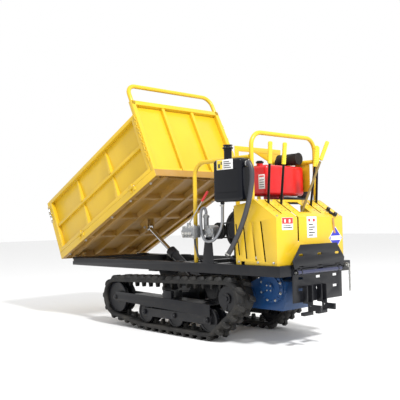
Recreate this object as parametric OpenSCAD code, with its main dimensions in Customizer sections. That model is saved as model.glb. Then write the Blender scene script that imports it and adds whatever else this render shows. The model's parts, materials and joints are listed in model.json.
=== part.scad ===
// Tracked power barrow: a tipping bed on a crawler undercarriage with an engine and a lever console.
// X runs from the dump end to the console end, Y to the driver's right, Z up.

/* [Tipping bed] */
// Width over the hinged side boards
bed_w = 1000; // [850:10:1200]
// Length of the floor frame
bed_len = 1600; // [1350:10:1920]
// Depth of the floor frame's channels
floor_h = 60; // [50:1:72]
// Height of the hinged boards
board_h = 531; // [440:1:640]
// Thickness of the boards' frames
board_t = 38; // [32:1:46]
// Rise of the headboard above the hinged boards
head_rise = 125; // [100:1:150]
// Rise of the guard loop above the headboard
loop_rise = 180; // [150:1:220]
// Diameter of the guard loop's tube
loop_d = 36; // [30:1:44]
// Bend radius of the guard loop
loop_bend = 90; // [75:1:110]
// Sheet metal of the bed
bed_sheet = 3; // [2:0.5:4]
// Angle that the bed stands tipped at
bed_tip = 25.7; // [0:0.1:30]

/* [Chassis] */
// Width over the two side rails
frame_w = 810; // [700:10:900]
// Height of the rails' section
rail_h = 73; // [60:1:88]
// Width of the rails' flanges
rail_flange = 50; // [42:1:60]
// Wall of the rails
rail_wall = 6; // [5:0.5:8]
// Station where the lowered bed's head end comes to rest
bed_stop_x = 74; // [40:1:90]
// Station of the rails' console end
rail_end_x = 1040; // [1030:1:1080]
// Radius of the bed's pivot shaft
pivot_r = 12.5; // [10:0.5:15]

/* [Undercarriage] */
// Distance between the middles of the two tracks
track_gauge = 680; // [600:10:760]
// Width of a rubber track
track_w = 180; // [150:2:216]
// Thickness of the track's carcass
carcass_t = 27; // [22:1:32]
// Height of the outer lugs
lug_h = 30; // [24:1:36]
// Number of lugs in each row
lug_count = 38; // [30:1:46]
// Height of the inner guide teeth
tooth_h = 42; // [34:1:50]
// Radius of the track's inside round the sprocket
sprocket_r = 100; // [90:1:112]
// Station of the drive sprocket
sprocket_x = 561; // [520:1:600]
// Height of the drive sprocket's axis
sprocket_z = 323; // [300:1:340]
// Radius of the track's inside round the idler
idler_r = 133; // [115:1:155]
// Station of the idler
idler_x = -791; // [-900:1:-740]
// Height of the idler's axis
idler_z = 242; // [225:1:260]
// Radius of a bottom roller
roller_r = 92; // [80:1:100]
// Distance between bottom rollers
roller_pitch = 373; // [310:1:400]
// Clearance from the wheels to the track
wheel_gap = 1; // [0.5:0.5:3]
// Clearance from the tracks' top up to the rails
track_gap = 17; // [10:1:40]

/* [Tipping cylinder] */
// Outer radius of the barrel
barrel_r = 36; // [30:1:42]
// Length from the lower pin to the gland
barrel_len = 453; // [400:1:480]
// Radius of the rod
rod_r = 17; // [14:0.5:20]
// Radius of both cylinder pins
ram_pin_r = 12; // [10:0.5:14]

/* [Engine bay] */
// Radius of the flywheel
flywheel_r = 150; // [125:1:165]
// Radius of the pump pulley
pump_pulley_r = 56; // [47:1:67]
// Length of the hydraulic tank
tank_len = 270; // [225:5:300]
// Height of the hydraulic tank
tank_h = 300; // [250:5:340]
// Outer radius of the suction hose
suction_r = 18; // [14:0.5:21]
// Outer radius of the guards' tubes
guard_r = 16; // [13:0.5:19]

/* [Console] */
// Width of the hood
hood_w = 760; // [700:10:840]
// Sheet metal of the hood
hood_sheet = 2.5; // [2:0.5:4]
// Height of the hood's crest
hood_top = 1025; // [950:5:1080]
// Length of the lever shafts from their pivot
lever_len = 808; // [720:1:900]
// Width of the lever slots
slot_w = 16; // [14:1:20]
// Width of the folding footboard
foot_w = 560; // [480:10:620]

/* [Hidden] */
$fn = 48;
fit = 0.05;
seat = 0.3;

// Heights that follow from the tracks.
belt_in = lug_h + carcass_t;
roller_z = belt_in + wheel_gap + roller_r;
track_top = sprocket_z + sprocket_r + belt_in;
rail_z0 = track_top + track_gap;
rail_z1 = rail_z0 + rail_h;
frame_y = frame_w / 2;
track_y = track_gauge / 2;

// The bed's pivot, and where the bed rests when it is down.
pad_t = 5;
hinge_in = 40;
hinge_drop = 35;
hinge_x = bed_stop_x - bed_len + hinge_in;
hinge_z = rail_z1 + pad_t + 0.5 - hinge_drop;
rail_x0 = hinge_x - 9;
bed_y = bed_w / 2;
board_z0 = floor_h + 2;
board_z1 = board_z0 + board_h;
head_z1 = board_z1 + head_rise;
loop_z1 = head_z1 + loop_rise;
knuckle_r = 9;
knuckle_out = 9.5;
hinge_pin_r = 5;
side_hinges = [0.26 * bed_len, 0.8 * bed_len];
gate_hinges = [-0.3 * bed_w, 0.3 * bed_w];

// The tipping cylinder, from its lower pin to the clevis under the bed.
clevis_u = 722 + hinge_in;
clevis_w = -14 - hinge_drop;
ram_low = [-150, rail_z0 - 122];
ram_high = [hinge_x + (clevis_u - hinge_in) * cos(bed_tip) - (clevis_w + hinge_drop) * sin(bed_tip),
            hinge_z + (clevis_u - hinge_in) * sin(bed_tip) + (clevis_w + hinge_drop) * cos(bed_tip)];
ram_len = norm(ram_high - ram_low);
ram_angle = atan2(ram_high[1] - ram_low[1], ram_low[0] - ram_high[0]);
eye_w = 40;

// Footboard and rear plate.
plate_x = rail_end_x + 20;
plate_t = 8;
foot_hinge_x = plate_x + plate_t + 15;
foot_hinge_z = rail_z0 + 23;
hook_x = plate_x + 120;

// The whole part is centred along X over its own outline.
dump_end_x = hinge_x - hinge_in * cos(bed_tip) - (hinge_drop + board_z1) * sin(bed_tip) - 8;
origin_x = -(dump_end_x + hook_x) / 2;

// Round the track's path: drive sprocket, idler, rear roller, front roller.
first_roller_x = 353;
roller_xs = [first_roller_x, first_roller_x - roller_pitch, first_roller_x - 2 * roller_pitch];
wheels = [[sprocket_x, sprocket_z, sprocket_r], [idler_x, idler_z, idler_r],
          [roller_xs[2], roller_z, roller_r + wheel_gap], [roller_xs[0], roller_z, roller_r + wheel_gap]];

// ---- helpers ----

module on_machine() {
    translate([origin_x, 0, 0]) children();
}

// A block given by its lowest and highest corners.
module block(low, high) {
    translate(low) cube(high - low);
}

// A round bar along Y at (x, z).
module bar_y(r, y0, y1, x, z) {
    translate([x, y1, z]) rotate([90, 0, 0]) cylinder(r = r, h = y1 - y0);
}

// A round bar along X at (y, z).
module bar_x(r, x0, x1, y, z) {
    translate([x0, y, z]) rotate([0, 90, 0]) cylinder(r = r, h = x1 - x0);
}

// A flat outline drawn in X and Z, as a slab from y0 to y1.
module slab(y0, y1) {
    translate([0, y1, 0]) rotate([90, 0, 0]) linear_extrude(y1 - y0) children();
}

module both_sides() {
    children();
    mirror([0, 1, 0]) children();
}

module side(s) {
    mirror([0, s > 0 ? 0 : 1, 0]) children();
}

// An upright hoop in Y and Z: two posts, two bends and a top bar.
module hoop(half, z0, z1, bend, r) {
    both_sides() translate([0, half, z0]) cylinder(r = r, h = z1 - bend - z0);
    both_sides() translate([0, half - bend, z1 - bend])
        rotate([90, 0, 90]) rotate_extrude(angle = 90) translate([bend, 0]) circle(r);
    bar_y(r, bend - half, half - bend, 0, z1);
}

// A swept round tube along smooth points, with the ring's first axis across `ref`.
function spline(p, i, t) =
    let (n = len(p) - 1, a = p[max(i - 1, 0)], b = p[i], c = p[min(i + 1, n)], d = p[min(i + 2, n)])
    0.5 * (2 * b + (c - a) * t + (2 * a - 5 * b + 4 * c - d) * t * t + (3 * b - a - 3 * c + d) * t * t * t);
function smooth(p, steps) = concat(
    [for (i = [0 : len(p) - 2]) for (k = [0 : steps - 1]) spline(p, i, k / steps)], [p[len(p) - 1]]);
function unit(v) = v / norm(v);
module hose(p, r, ref = [0, 1, 0], sides = 10, steps = 4) {
    q = smooth(p, steps);
    n = len(q);
    rings = [for (i = [0 : n - 1])
        let (t = unit(q[min(i + 1, n - 1)] - q[max(i - 1, 0)]), u = unit(cross(t, ref)), v = cross(t, u))
        for (k = [0 : sides - 1]) q[i] + r * (cos(360 * k / sides) * u + sin(360 * k / sides) * v)];
    skin = [for (i = [0 : n - 2]) for (k = [0 : sides - 1])
        [i * sides + k, i * sides + (k + 1) % sides, (i + 1) * sides + (k + 1) % sides, (i + 1) * sides + k]];
    ends = [[for (k = [sides - 1 : -1 : 0]) k], [for (k = [0 : sides - 1]) (n - 1) * sides + k]];
    polyhedron(rings, concat(skin, ends), convexity = 6);
}

// Half the width of a link's middle line: the next link's wire just fits inside.
function link_half(wire) = 2 * wire + seat / 2;

// One link of chain, lying along X in the XY plane.
module chain_link(pitch, wire) {
    translate([0, 0, -wire]) linear_extrude(2 * wire) difference() {
        link_outline(pitch / 2 - wire, link_half(wire) + wire);
        link_outline(pitch / 2 - wire, link_half(wire) - wire);
    }
}

module link_outline(reach, r) {
    for (s = [-1, 1]) translate([s * reach, 0]) circle(r);
    square([2 * reach, 2 * r], center = true);
}

// A straight chain along X with its links turned by quarter turns, hung from a staple along Y.
module chain(count, pitch, wire) {
    for (i = [0 : count - 1])
        translate([i * pitch, 0, 0]) rotate([(i + 1) % 2 * 90, 0, 0]) chain_link(pitch, wire);
}

// ---- chassis ----

cross_xs = [[rail_x0 + 100, 60], [rail_x0 + 420, 60], [40, 60], [420, 60], [850, 60]];
lever_pivot = [830, rail_z1 + 52];
foot_lug_y = 0.42 * foot_w;

module rail() {
    difference() {
        block([rail_x0, frame_y - rail_flange, rail_z0], [rail_end_x, frame_y, rail_z1]);
        block([rail_x0 - 1, frame_y - rail_flange - 1, rail_z0 + rail_wall],
              [rail_end_x - 20, frame_y - rail_wall, rail_z1 - rail_wall]);
        bar_y(pivot_r, frame_y - rail_flange, frame_y + 1, hinge_x, hinge_z);
    }
    // rubber-topped rests for the lowered bed
    for (x = [rail_x0 + 60, rail_x0 + 700, bed_stop_x - 110])
        block([x, frame_y - rail_flange, rail_z1], [x + 90, frame_y - 6, rail_z1 + pad_t]);
    // bracket that carries one end of the lever shaft
    difference() {
        block([lever_pivot[0] - 20, hood_w / 2 - 60, rail_z1 - 5],
              [lever_pivot[0] + 20, hood_w / 2 - 52, lever_pivot[1] + 18]);
        bar_y(10, 0, frame_y, lever_pivot[0], lever_pivot[1]);
    }
}

module chassis_frame() {
    color("#1c1c1f") on_machine() {
        both_sides() rail();
        for (c = cross_xs)
            block([c[0], rail_flange - frame_y - 0.01, rail_z0], [c[0] + c[1], frame_y - rail_flange + 0.01, rail_z1]);
        block([rail_end_x, -frame_y, rail_z0], [plate_x, frame_y, rail_z1]);
        // engine bearers
        for (y = [-150, 150])
            block([380, y - 25, rail_z1 - 0.01], [880, y + 25, rail_z1 + 28]);
        // seat for the gear lever's ball
        block([gear_pivot[0] - 22, gear_pivot[1] - 25, rail_z1 - 0.01],
              [gear_pivot[0] + 8, gear_pivot[1] + 25, gear_pivot[2] - gear_ball_r - seat]);
        // pump stand on the left rail
        block([300, -frame_y, rail_z1], [430, rail_flange - frame_y, rail_z1 + 8]);
        slab(-frame_y + 8, -frame_y + 16)
            polygon([[305, rail_z1 + 4], [425, rail_z1 + 4], [408, rail_z1 + 190], [340, rail_z1 + 190]]);
    }
}

module pivot_pins() {
    color("silver") on_machine() {
        bar_y(pivot_r, rail_wall - frame_y, frame_y - rail_wall, hinge_x, hinge_z);
        bar_y(ram_pin_r, -barrel_r - 16, barrel_r + 16, ram_low[0], ram_low[1]);
        bar_y(10 - fit, hood_sheet + seat - hood_w / 2, hood_w / 2 - hood_sheet - seat, lever_pivot[0], lever_pivot[1]);
        for (s = [-1, 1]) bar_y(8, s * foot_lug_y - 34, s * foot_lug_y + 34, foot_hinge_x, foot_hinge_z);
    }
}

// ---- undercarriage ----

beam_y0 = track_y - 72;
beam_y1 = track_y + 74;
plate_w = 8;
disc_in = 24;
disc_out = 54;
axle_r = 15;
cross_tube = 80;
cross_tubes = [-330, 180];

module undercarriage_frame() {
    color("#202023") on_machine() {
        for (x = cross_tubes) {
            difference() {
                block([x, -beam_y0, beam_top(x) - 70], [x + cross_tube, beam_y0, beam_top(x) + 10]);
                block([x + 6, -beam_y0 - 1, beam_top(x) - 64], [x + cross_tube - 6, beam_y0 + 1, beam_top(x) + 4]);
            }
            both_sides() block([x + 10, 150, beam_top(x) + 9], [x + cross_tube - 10, 204, rail_z0 - 11]);
            both_sides() slab(202, 232)
                polygon([[x - 90, rail_z0 - 11], [x + cross_tube + 60, rail_z0 - 11],
                         [x + cross_tube - 10, beam_top(x) + 9], [x + 10, beam_top(x) + 9]]);
            // bolsters under the rails
            both_sides() block([x - 10, 150, rail_z0 - 12], [x + cross_tube + 10, frame_y - 6, rail_z0]);
        }
        // stand for the tipping cylinder's lower pin
        both_sides() difference() {
            slab(barrel_r + 2, barrel_r + 14)
                polygon([[cross_tubes[0] + cross_tube, beam_top(0) - 66], [ram_low[0] + 30, beam_top(0) - 66],
                         [ram_low[0] + 30, ram_low[1] + 28], [ram_low[0] - 34, ram_low[1] + 28],
                         [cross_tubes[0] + cross_tube, beam_top(0) - 4]]);
            bar_y(ram_pin_r, 0, 80, ram_low[0], ram_low[1]);
        }
        // long members between the cross tubes
        both_sides() block([cross_tubes[0] + cross_tube, 150, beam_top(0) - 60], [cross_tubes[1], 190, beam_top(0) - 20]);
    }
}

// Height of the beam's sloping top edge at a station.
function beam_top(x) = idler_z + 50 - (x - idler_x) * 0.022;

module beam_plate(y0, y1, y2, y3) {
    slab(y0, y1) union() {
        polygon([[idler_x, idler_z - 28], [roller_xs[0] + 36, roller_z + 26],
                 [roller_xs[0] + 36, beam_top(roller_xs[0] + 36)], [idler_x, beam_top(idler_x)]]);
        translate([idler_x, idler_z]) circle(28);
    }
    slab(y2, y3) polygon([[roller_xs[2] - 34, roller_z - 32], [roller_xs[0] + 36, roller_z - 32],
                          [roller_xs[0] + 36, roller_z + 34], [roller_xs[2] - 34, roller_z + 34]]);
}

module track_beam(s) {
    web_z = roller_z + roller_r + 4;
    color("#242428") on_machine() side(s) difference() {
        union() {
            beam_plate(beam_y1 - plate_w, beam_y1, beam_y1 - 2 * plate_w, beam_y1 - plate_w);
            beam_plate(beam_y0, beam_y0 + plate_w, beam_y0 + plate_w, beam_y0 + 2 * plate_w);
            // sloping cover between the plates
            slab(beam_y0, beam_y1)
                polygon([[roller_xs[2] - 150, beam_top(roller_xs[2] - 150) - 6],
                         [roller_xs[0] + 36, beam_top(roller_xs[0] + 36) - 6],
                         [roller_xs[0] + 36, beam_top(roller_xs[0] + 36)],
                         [roller_xs[2] - 150, beam_top(roller_xs[2] - 150)]]);
            // webs between the rollers
            for (x = [roller_xs[1] + roller_pitch / 2, roller_xs[2] + roller_pitch / 2, roller_xs[2] - 140])
                block([x - 5, beam_y0, max(roller_z - 20, idler_z - 24)], [x + 5, beam_y1 - plate_w, beam_top(x) - 1]);
            // skid that carries the track's top run
            block([-160, track_y - 60, beam_top(0) - 8], [-60, track_y - 26, beam_top(0) + 62]);
            block([-160, track_y + 26, beam_top(0) - 8], [-60, track_y + 60, beam_top(0) + 62]);
        }
        for (x = roller_xs) bar_y(axle_r, beam_y0 - 1, beam_y1 + 1, x, roller_z);
        bar_y(axle_r, beam_y0 - 1, beam_y1 + 1, idler_x, idler_z);
    }
}

// The track's path. Each run is a tangent whose outward normal angle is worked out from its two wheels.
function run_angle(a, b) = atan2(b[1] - a[1], b[0] - a[0])
    - acos((a[2] - b[2]) / norm([b[0] - a[0], b[1] - a[1]]));
function run_length(a, b) = sqrt(pow(norm([b[0] - a[0], b[1] - a[1]]), 2) - pow(a[2] - b[2], 2));
runs = [for (i = [0 : 3]) run_angle(wheels[i], wheels[(i + 1) % 4])];
turns = [for (i = [0 : 3]) (runs[i] - runs[(i + 3) % 4] + 720) % 360];
arc_lengths = [for (i = [0 : 3]) turns[i] * PI / 180 * wheels[i][2]];
leg_lengths = [for (i = [0 : 3]) arc_lengths[i] + run_length(wheels[i], wheels[(i + 1) % 4])];
function total(v, n) = n <= 0 ? 0 : v[n - 1] + total(v, n - 1);
path_length = total(leg_lengths, 4);

// Point on the track's inside at path length s, moved outwards by e.
function track_point(s, e) =
    let (w = s % path_length,
         i = max([for (k = [0 : 3]) total(leg_lengths, k) <= w ? k : 0]),
         u = w - total(leg_lengths, i), wheel = wheels[i],
         on_arc = u < arc_lengths[i],
         angle = on_arc ? runs[(i + 3) % 4] + u / wheel[2] * 180 / PI : runs[i],
         v = on_arc ? 0 : u - arc_lengths[i])
    [wheel[0] + (wheel[2] + e) * cos(angle) - v * sin(angle),
     wheel[1] + (wheel[2] + e) * sin(angle) + v * cos(angle)];

lug_pitch = path_length / lug_count;
lug_root = 26;
lug_tip = 17;
function lug_row(phase) = [for (k = [0 : lug_count - 1])
    for (q = [[-lug_root, carcass_t], [-lug_tip, belt_in], [lug_tip, belt_in], [lug_root, carcass_t],
              [lug_pitch / 2, carcass_t]])
    track_point((k + phase) * lug_pitch + q[0], q[1])];
function tooth_row() = [for (k = [0 : lug_count - 1])
    for (q = [[-16, 0], [-7, -tooth_h], [7, -tooth_h], [16, 0], [lug_pitch / 2, 0]])
    track_point((k + 1) * lug_pitch + q[0], q[1])];
function plain_row(e) = [for (k = [0 : 4 * lug_count - 1]) track_point(k * lug_pitch / 4, e)];

module track_belt(s) {
    half = track_w / 2;
    strip = 18;
    color("#161616") on_machine() side(s) translate([0, track_y, 0]) {
        slab(-half, -strip) difference() { polygon(lug_row(1)); polygon(plain_row(0)); }
        slab(-strip, strip) difference() { polygon(plain_row(carcass_t)); polygon(tooth_row()); }
        slab(strip, half) difference() { polygon(lug_row(1.5)); polygon(plain_row(0)); }
    }
}

sprocket_teeth = 10;
module sprocket(s) {
    rim = sprocket_r - 4;
    color("#2b2b2e") on_machine() side(s) translate([sprocket_x, 0, sprocket_z]) {
        for (y = [track_y - 50, track_y + 32]) difference() {
            bar_y(rim, y, y + 18, 0, 0);
            for (k = [0 : sprocket_teeth - 1]) rotate([0, k * 360 / sprocket_teeth, 0])
                bar_y(13, y - 1, y + 19, 0, rim + 3);
        }
        bar_y(44, track_y - 50, track_y + 50, 0, 0);
        bar_y(rim - 8, track_y + 50, track_y + 60, 0, 0);
        bar_y(38, track_y + 60, track_y + 72, 0, 0);
        bar_y(18, track_y + 72, track_y + 80, 0, 0);
        bar_y(24, 150, track_y - 50, 0, 0);
    }
}

// A wheel of two discs on one hub, bored for its axle.
module twin_wheel(r, hub, x, z, s) {
    on_machine() side(s) difference() {
        union() {
            for (y = [-disc_out, disc_in]) bar_y(r, track_y + y, track_y + y + disc_out - disc_in, x, z);
            bar_y(hub, track_y - disc_out - 2, track_y + disc_out + 2, x, z);
        }
        bar_y(axle_r + fit, track_y - 90, track_y + 90, x, z);
        bar_y(r - 16, track_y + disc_out - 6, track_y + disc_out + 0.01, x, z);
        bar_y(r - 16, track_y - disc_out - 0.01, track_y - disc_out + 6, x, z);
    }
    on_machine() side(s) difference() {
        bar_y(hub, track_y - disc_out - 2, track_y + disc_out + 2, x, z);
        bar_y(axle_r + fit, track_y - 90, track_y + 90, x, z);
    }
}

module idler(s) {
    color("#2a2a2d") twin_wheel(idler_r - wheel_gap, 40, idler_x, idler_z, s);
}

module roller(s, i) {
    color("#2a2a2d") twin_wheel(roller_r, 34, roller_xs[i], roller_z, s);
}

module axle(x, z) {
    bar_y(axle_r, beam_y0, beam_y1, x, z);
    // bolt heads proud of both plates
    bar_y(22, beam_y1, beam_y1 + 7, x, z);
    bar_y(13, beam_y1 + 7, beam_y1 + 14, x, z, $fn = 6);
    bar_y(22, beam_y0 - 7, beam_y0, x, z);
}

module roller_axles() {
    color("dimgray") on_machine() both_sides() {
        for (x = roller_xs) axle(x, roller_z);
        axle(idler_x, idler_z);
    }
}

// ---- drive ----

crank = [560, rail_z1 + 245];
gear_in = [770, 430];
cover_c = [793, 398];
pump_c = [385, rail_z1 + 237];
drive_y = 214;
drive_r = 62;
input_r = 62;
belt_w = 17;
belt_t = 10;

module gearbox_housing() {
    color("#1d4d86") on_machine() difference() {
        union() {
            slab(-165, 165) polygon([[500, 262], [560, 236], [880, 236], [905, 300], [905, 440], [860, 480],
                                     [700, 480], [500, 390]]);
            both_sides() bar_y(62, 164, 200, sprocket_x, sprocket_z);
            for (x = [600, 820]) block([x, -60, 470], [x + 60, 60, rail_z0 - 8]);
            block([590, -90, rail_z0 - 8], [890, 90, rail_z0]);
            // flange round the cover
            bar_y(112, -176, -164, cover_c[0], cover_c[1]);
        }
        bar_y(24 + fit, -206, 206, sprocket_x, sprocket_z);
        bar_y(20 + fit, 120, 170, gear_in[0], gear_in[1]);
    }
}

module gearbox_cover() {
    color("#2461a3") on_machine() {
        bar_y(106, -190, -176, cover_c[0], cover_c[1]);
        bar_y(84, -200, -190, cover_c[0], cover_c[1]);
        bar_y(34, -214, -200, cover_c[0], cover_c[1]);
        for (k = [0 : 7]) translate([cover_c[0], 0, cover_c[1]]) rotate([0, k * 45, 0])
            bar_y(7, -197, -189, 0, 95, $fn = 6);
    }
}

module input_pulley() {
    color("dimgray") on_machine() {
        bar_y(20, 122, drive_y - 14, gear_in[0], gear_in[1]);
        grooved(input_r, gear_in, drive_y);
    }
}

// A pulley with one groove that the belt lies in, centred on y.
module grooved(r, at, y) {
    bar_y(r + 6, y - 14, y - belt_w / 2 - 1, at[0], at[1]);
    bar_y(r - belt_t, y - belt_w / 2 - 1, y + belt_w / 2 + 1, at[0], at[1]);
    bar_y(r + 6, y + belt_w / 2 + 1, y + 14, at[0], at[1]);
}

module belt_loop(a, ra, b, rb, y) {
    slab(y - belt_w / 2, y + belt_w / 2) difference() {
        belt_outline(a, ra, b, rb, belt_t);
        belt_outline(a, ra, b, rb, 0);
    }
}

function arc(c, r, from, to) = [for (k = [0 : 40])
    let (t = from + (to - from) * k / 40) c + r * [cos(t), sin(t)]];
module belt_outline(a, ra, b, rb, e) {
    n = atan2(b[1] - a[1], b[0] - a[0]);
    k = acos((ra - rb) / norm(b - a));
    polygon(concat(arc(a, ra + e, n + k, n - k + 360), arc(b, rb + e, n - k, n + k)));
}

module drive_belts() {
    color("#111111") on_machine() {
        belt_loop(crank, drive_r - belt_t + seat, gear_in, input_r - belt_t + seat, drive_y);
        belt_loop(crank, drive_r - belt_t + seat, pump_c, pump_pulley_r - belt_t + seat, -288);
    }
}

module engine_block() {
    color("#3a3c3e") on_machine() difference() {
        union() {
            block([430, -185, rail_z1 + 28], [690, 185, rail_z1 + 400]);
            block([690, -120, rail_z1 + 150], [820, 150, rail_z1 + 330]);
            bar_x(60, 820, 838, 15, rail_z1 + 240);
            block([470, -205, rail_z1 + 80], [640, -184, rail_z1 + 380]);
            for (y = [-150, 150]) block([400, y - 25, rail_z1 + 28], [720, y + 25, rail_z1 + 48]);
            block([450, 60, rail_z1 + 399], [680, 150, rail_z1 + 470]);
        }
        bar_y(28 + fit, -210, 190, crank[0], crank[1]);
    }
}

module flywheel() {
    color("#2e3032") on_machine() {
        bar_y(28, -250, 200, crank[0], crank[1]);
        difference() {
            bar_y(flywheel_r, -252, -212, crank[0], crank[1]);
            bar_y(flywheel_r - 22, -253, -240, crank[0], crank[1]);
        }
        bar_y(40, -274, -250, crank[0], crank[1]);
        grooved(drive_r, crank, -288);
        grooved(drive_r, crank, drive_y);
    }
}

fuel_low = [500, -100, rail_z1 + 490];
fuel_high = [700, 350, rail_z1 + 722];
fuel_neck = [600, -60];
module fuel_tank() {
    color("#d3161c") on_machine() {
        difference() {
            union() {
                translate(fuel_low + [25, 25, 0]) linear_extrude(fuel_high[2] - fuel_low[2] - 12)
                    offset(25) square([fuel_high[0] - fuel_low[0] - 50, fuel_high[1] - fuel_low[1] - 50]);
                translate(fuel_low + [35, 35, 200]) linear_extrude(fuel_high[2] - fuel_low[2] - 200)
                    offset(25) square([fuel_high[0] - fuel_low[0] - 70, fuel_high[1] - fuel_low[1] - 70]);
            }
        }
        translate([fuel_neck[0], fuel_neck[1], fuel_high[2] - 1]) cylinder(r = 24, h = 16);
        // feet down to the engine
        for (y = [75, 130]) block([520, y - 10, rail_z1 + 470], [660, y + 10, fuel_low[2] + 1]);
    }
}

module fuel_cap() {
    color("#b01218") on_machine() translate([fuel_neck[0], fuel_neck[1], fuel_high[2] + 15 + seat]) {
        cylinder(r = 30, h = 12);
        translate([0, 0, 12]) cylinder(r = 22, h = 6);
    }
}

filter_c = [620, 424];
module air_filter() {
    color("#17181a") on_machine() translate([filter_c[0], filter_c[1], 0]) {
        translate([0, 0, rail_z1 + 500]) cylinder(r = 52, h = 150);
        translate([0, 0, rail_z1 + 650]) cylinder(r = 56, h = 26);
        translate([0, 0, rail_z1 + 676]) cylinder(r = 30, h = 18);
        translate([0, 0, rail_z1 + 484]) cylinder(r = 44, h = 16);
        // elbow across to the engine's head
        block([-25, 150 - filter_c[1], rail_z1 + 430], [25, 20, rail_z1 + 484]);
    }
}

module muffler() {
    color("#2c2420") on_machine() {
        bar_x(44, 505, 690, 290, rail_z1 + 782);
        bar_x(47, 498, 506, 290, rail_z1 + 782);
        bar_x(47, 690, 698, 290, rail_z1 + 782);
        // exhaust pipe down past the back of the fuel tank
        translate([470, 290, rail_z1 + 420]) cylinder(r = 16, h = 362);
        bar_x(16, 470, 500, 290, rail_z1 + 782);
        block([440, 150, rail_z1 + 405], [486, 306, rail_z1 + 440]);
    }
}

// ---- hydraulics ----

module hydraulic_pump() {
    color("#9a9d9f") on_machine() {
        difference() {
            union() {
                bar_y(44, -396, -322, pump_c[0], pump_c[1]);
                block([pump_c[0] - 46, -388, pump_c[1] - 50], [pump_c[0] + 40, -340, pump_c[1] + 30]);
                bar_y(30, -322, -306, pump_c[0], pump_c[1]);
                // inlet riser
                translate([pump_c[0] - 62, -364, pump_c[1] - 14]) cylinder(r = 19, h = 132);
                translate([pump_c[0] - 62, -364, pump_c[1] + 100]) cylinder(r = 25, h = 12);
                block([pump_c[0] - 80, -383, pump_c[1] - 30], [pump_c[0] - 40, -345, pump_c[1] + 2]);
            }
            bar_y(11 + fit, -360, -300, pump_c[0], pump_c[1]);
        }
    }
}

module pump_pulley() {
    color("#303234") on_machine() {
        bar_y(11, -350, -302, pump_c[0], pump_c[1]);
        grooved(pump_pulley_r, pump_c, -288);
    }
}

valve_low = [170, -470, rail_z1 + 190];
valve_high = [296, -398, rail_z1 + 276];
valve_pivot = [205, rail_z1 + 292];
module control_valve() {
    color("#b3b6b8") on_machine() {
        block(valve_low, valve_high);
        for (x = [200, 235, 270]) bar_y(15, valve_low[1] - 16, valve_low[1], x, valve_low[2] + 30);
        bar_x(20, valve_low[0] - 26, valve_low[0], -434, valve_low[2] + 46);
        // arm back to the guard's post and link to the pump
        block([valve_high[0] - 60, -398, valve_low[2] + 20], [pump_c[0] - 81, -352, valve_low[2] + 60]);
        // ears for the lever
        for (y = [-446, -426]) difference() {
            slab(y, y + 6) polygon([[valve_pivot[0] - 12, valve_high[2] - 1], [valve_pivot[0] + 12, valve_high[2] - 1],
                                    [valve_pivot[0] + 9, valve_pivot[1] + 9], [valve_pivot[0] - 9, valve_pivot[1] + 9]]);
            bar_y(4, -460, -400, valve_pivot[0], valve_pivot[1]);
        }
        bar_y(4, -446, -420, valve_pivot[0], valve_pivot[1]);
    }
}

valve_lean = 42;
module valve_lever() {
    on_machine() translate([valve_pivot[0], -433, valve_pivot[1]]) difference() {
        union() {
            color("#8d9092") rotate([90, 0, 0]) translate([0, 0, -5.5]) cylinder(r = 9, h = 11);
            rotate([0, valve_lean, 0]) {
                color("#8d9092") cylinder(r = 4, h = 238);
                color("#c8141a") translate([0, 0, 225]) cylinder(r = 10, h = 95);
            }
        }
        rotate([90, 0, 0]) translate([0, 0, -20]) cylinder(r = 4 + fit, h = 40);
    }
}

tank_low = [540, -500, rail_z1 + 442];
tank_high = tank_low + [tank_len, 112, tank_h];
tank_neck = [tank_low[0] + 104, -444];
module rounded_block(low, high, r) {
    translate(low + [r, r, 0]) linear_extrude(high[2] - low[2])
        offset(r) square([high[0] - low[0] - 2 * r, high[1] - low[1] - 2 * r]);
}

module hydraulic_tank() {
    color("#0f1013") on_machine() {
        rounded_block(tank_low + [0, 0, 14], tank_high - [0, 0, 12], 34);
        rounded_block(tank_low + [12, 12, 0], tank_high - [12, 12, 0], 24);
        translate([tank_neck[0], tank_neck[1], tank_high[2] - 1]) cylinder(r = 30, h = 76);
        // suction outlet on the end face, return inlet underneath
        bar_x(22, tank_high[0] - 20, tank_high[0] + 14, -444, tank_high[2] - 42);
        translate([tank_low[0] + 40, -444, tank_low[2] - 14]) cylinder(r = 15, h = 20);
        // straps back to the guard
        for (z = [tank_low[2] + 40, tank_high[2] - 50])
            block([tank_low[0] + 60, -390, z], [tank_high[0] - 60, -376, z + 30]);
    }
}

module tank_cap() {
    color("#141416") on_machine() translate([tank_neck[0], tank_neck[1], tank_high[2] + 75 + seat]) {
        cylinder(r = 38, h = 9);
        translate([0, 0, 9]) cylinder(r = 31, h = 14);
        translate([0, 0, 23]) cylinder(r = 36, h = 5);
    }
}

suction_end = [600, -430, rail_z1 + 62];
suction_points = [[tank_high[0] + 14 + seat, -444, tank_high[2] - 42], [tank_high[0] + 26, -444, tank_high[2] - 42],
    [tank_high[0] + 38, -444, tank_high[2] - 42], [tank_high[0] + 58, -444, tank_high[2] - 96], [tank_high[0] + 50, -444, tank_high[2] - 200],
    [tank_high[0] + 10, -440, tank_low[2] - 30], [740, -434, rail_z1 + 250], [650, -430, rail_z1 + 120], suction_end];
module suction_hose() {
    color("#3c3c3e") on_machine() hose(suction_points, suction_r, steps = 5);
}

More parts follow.
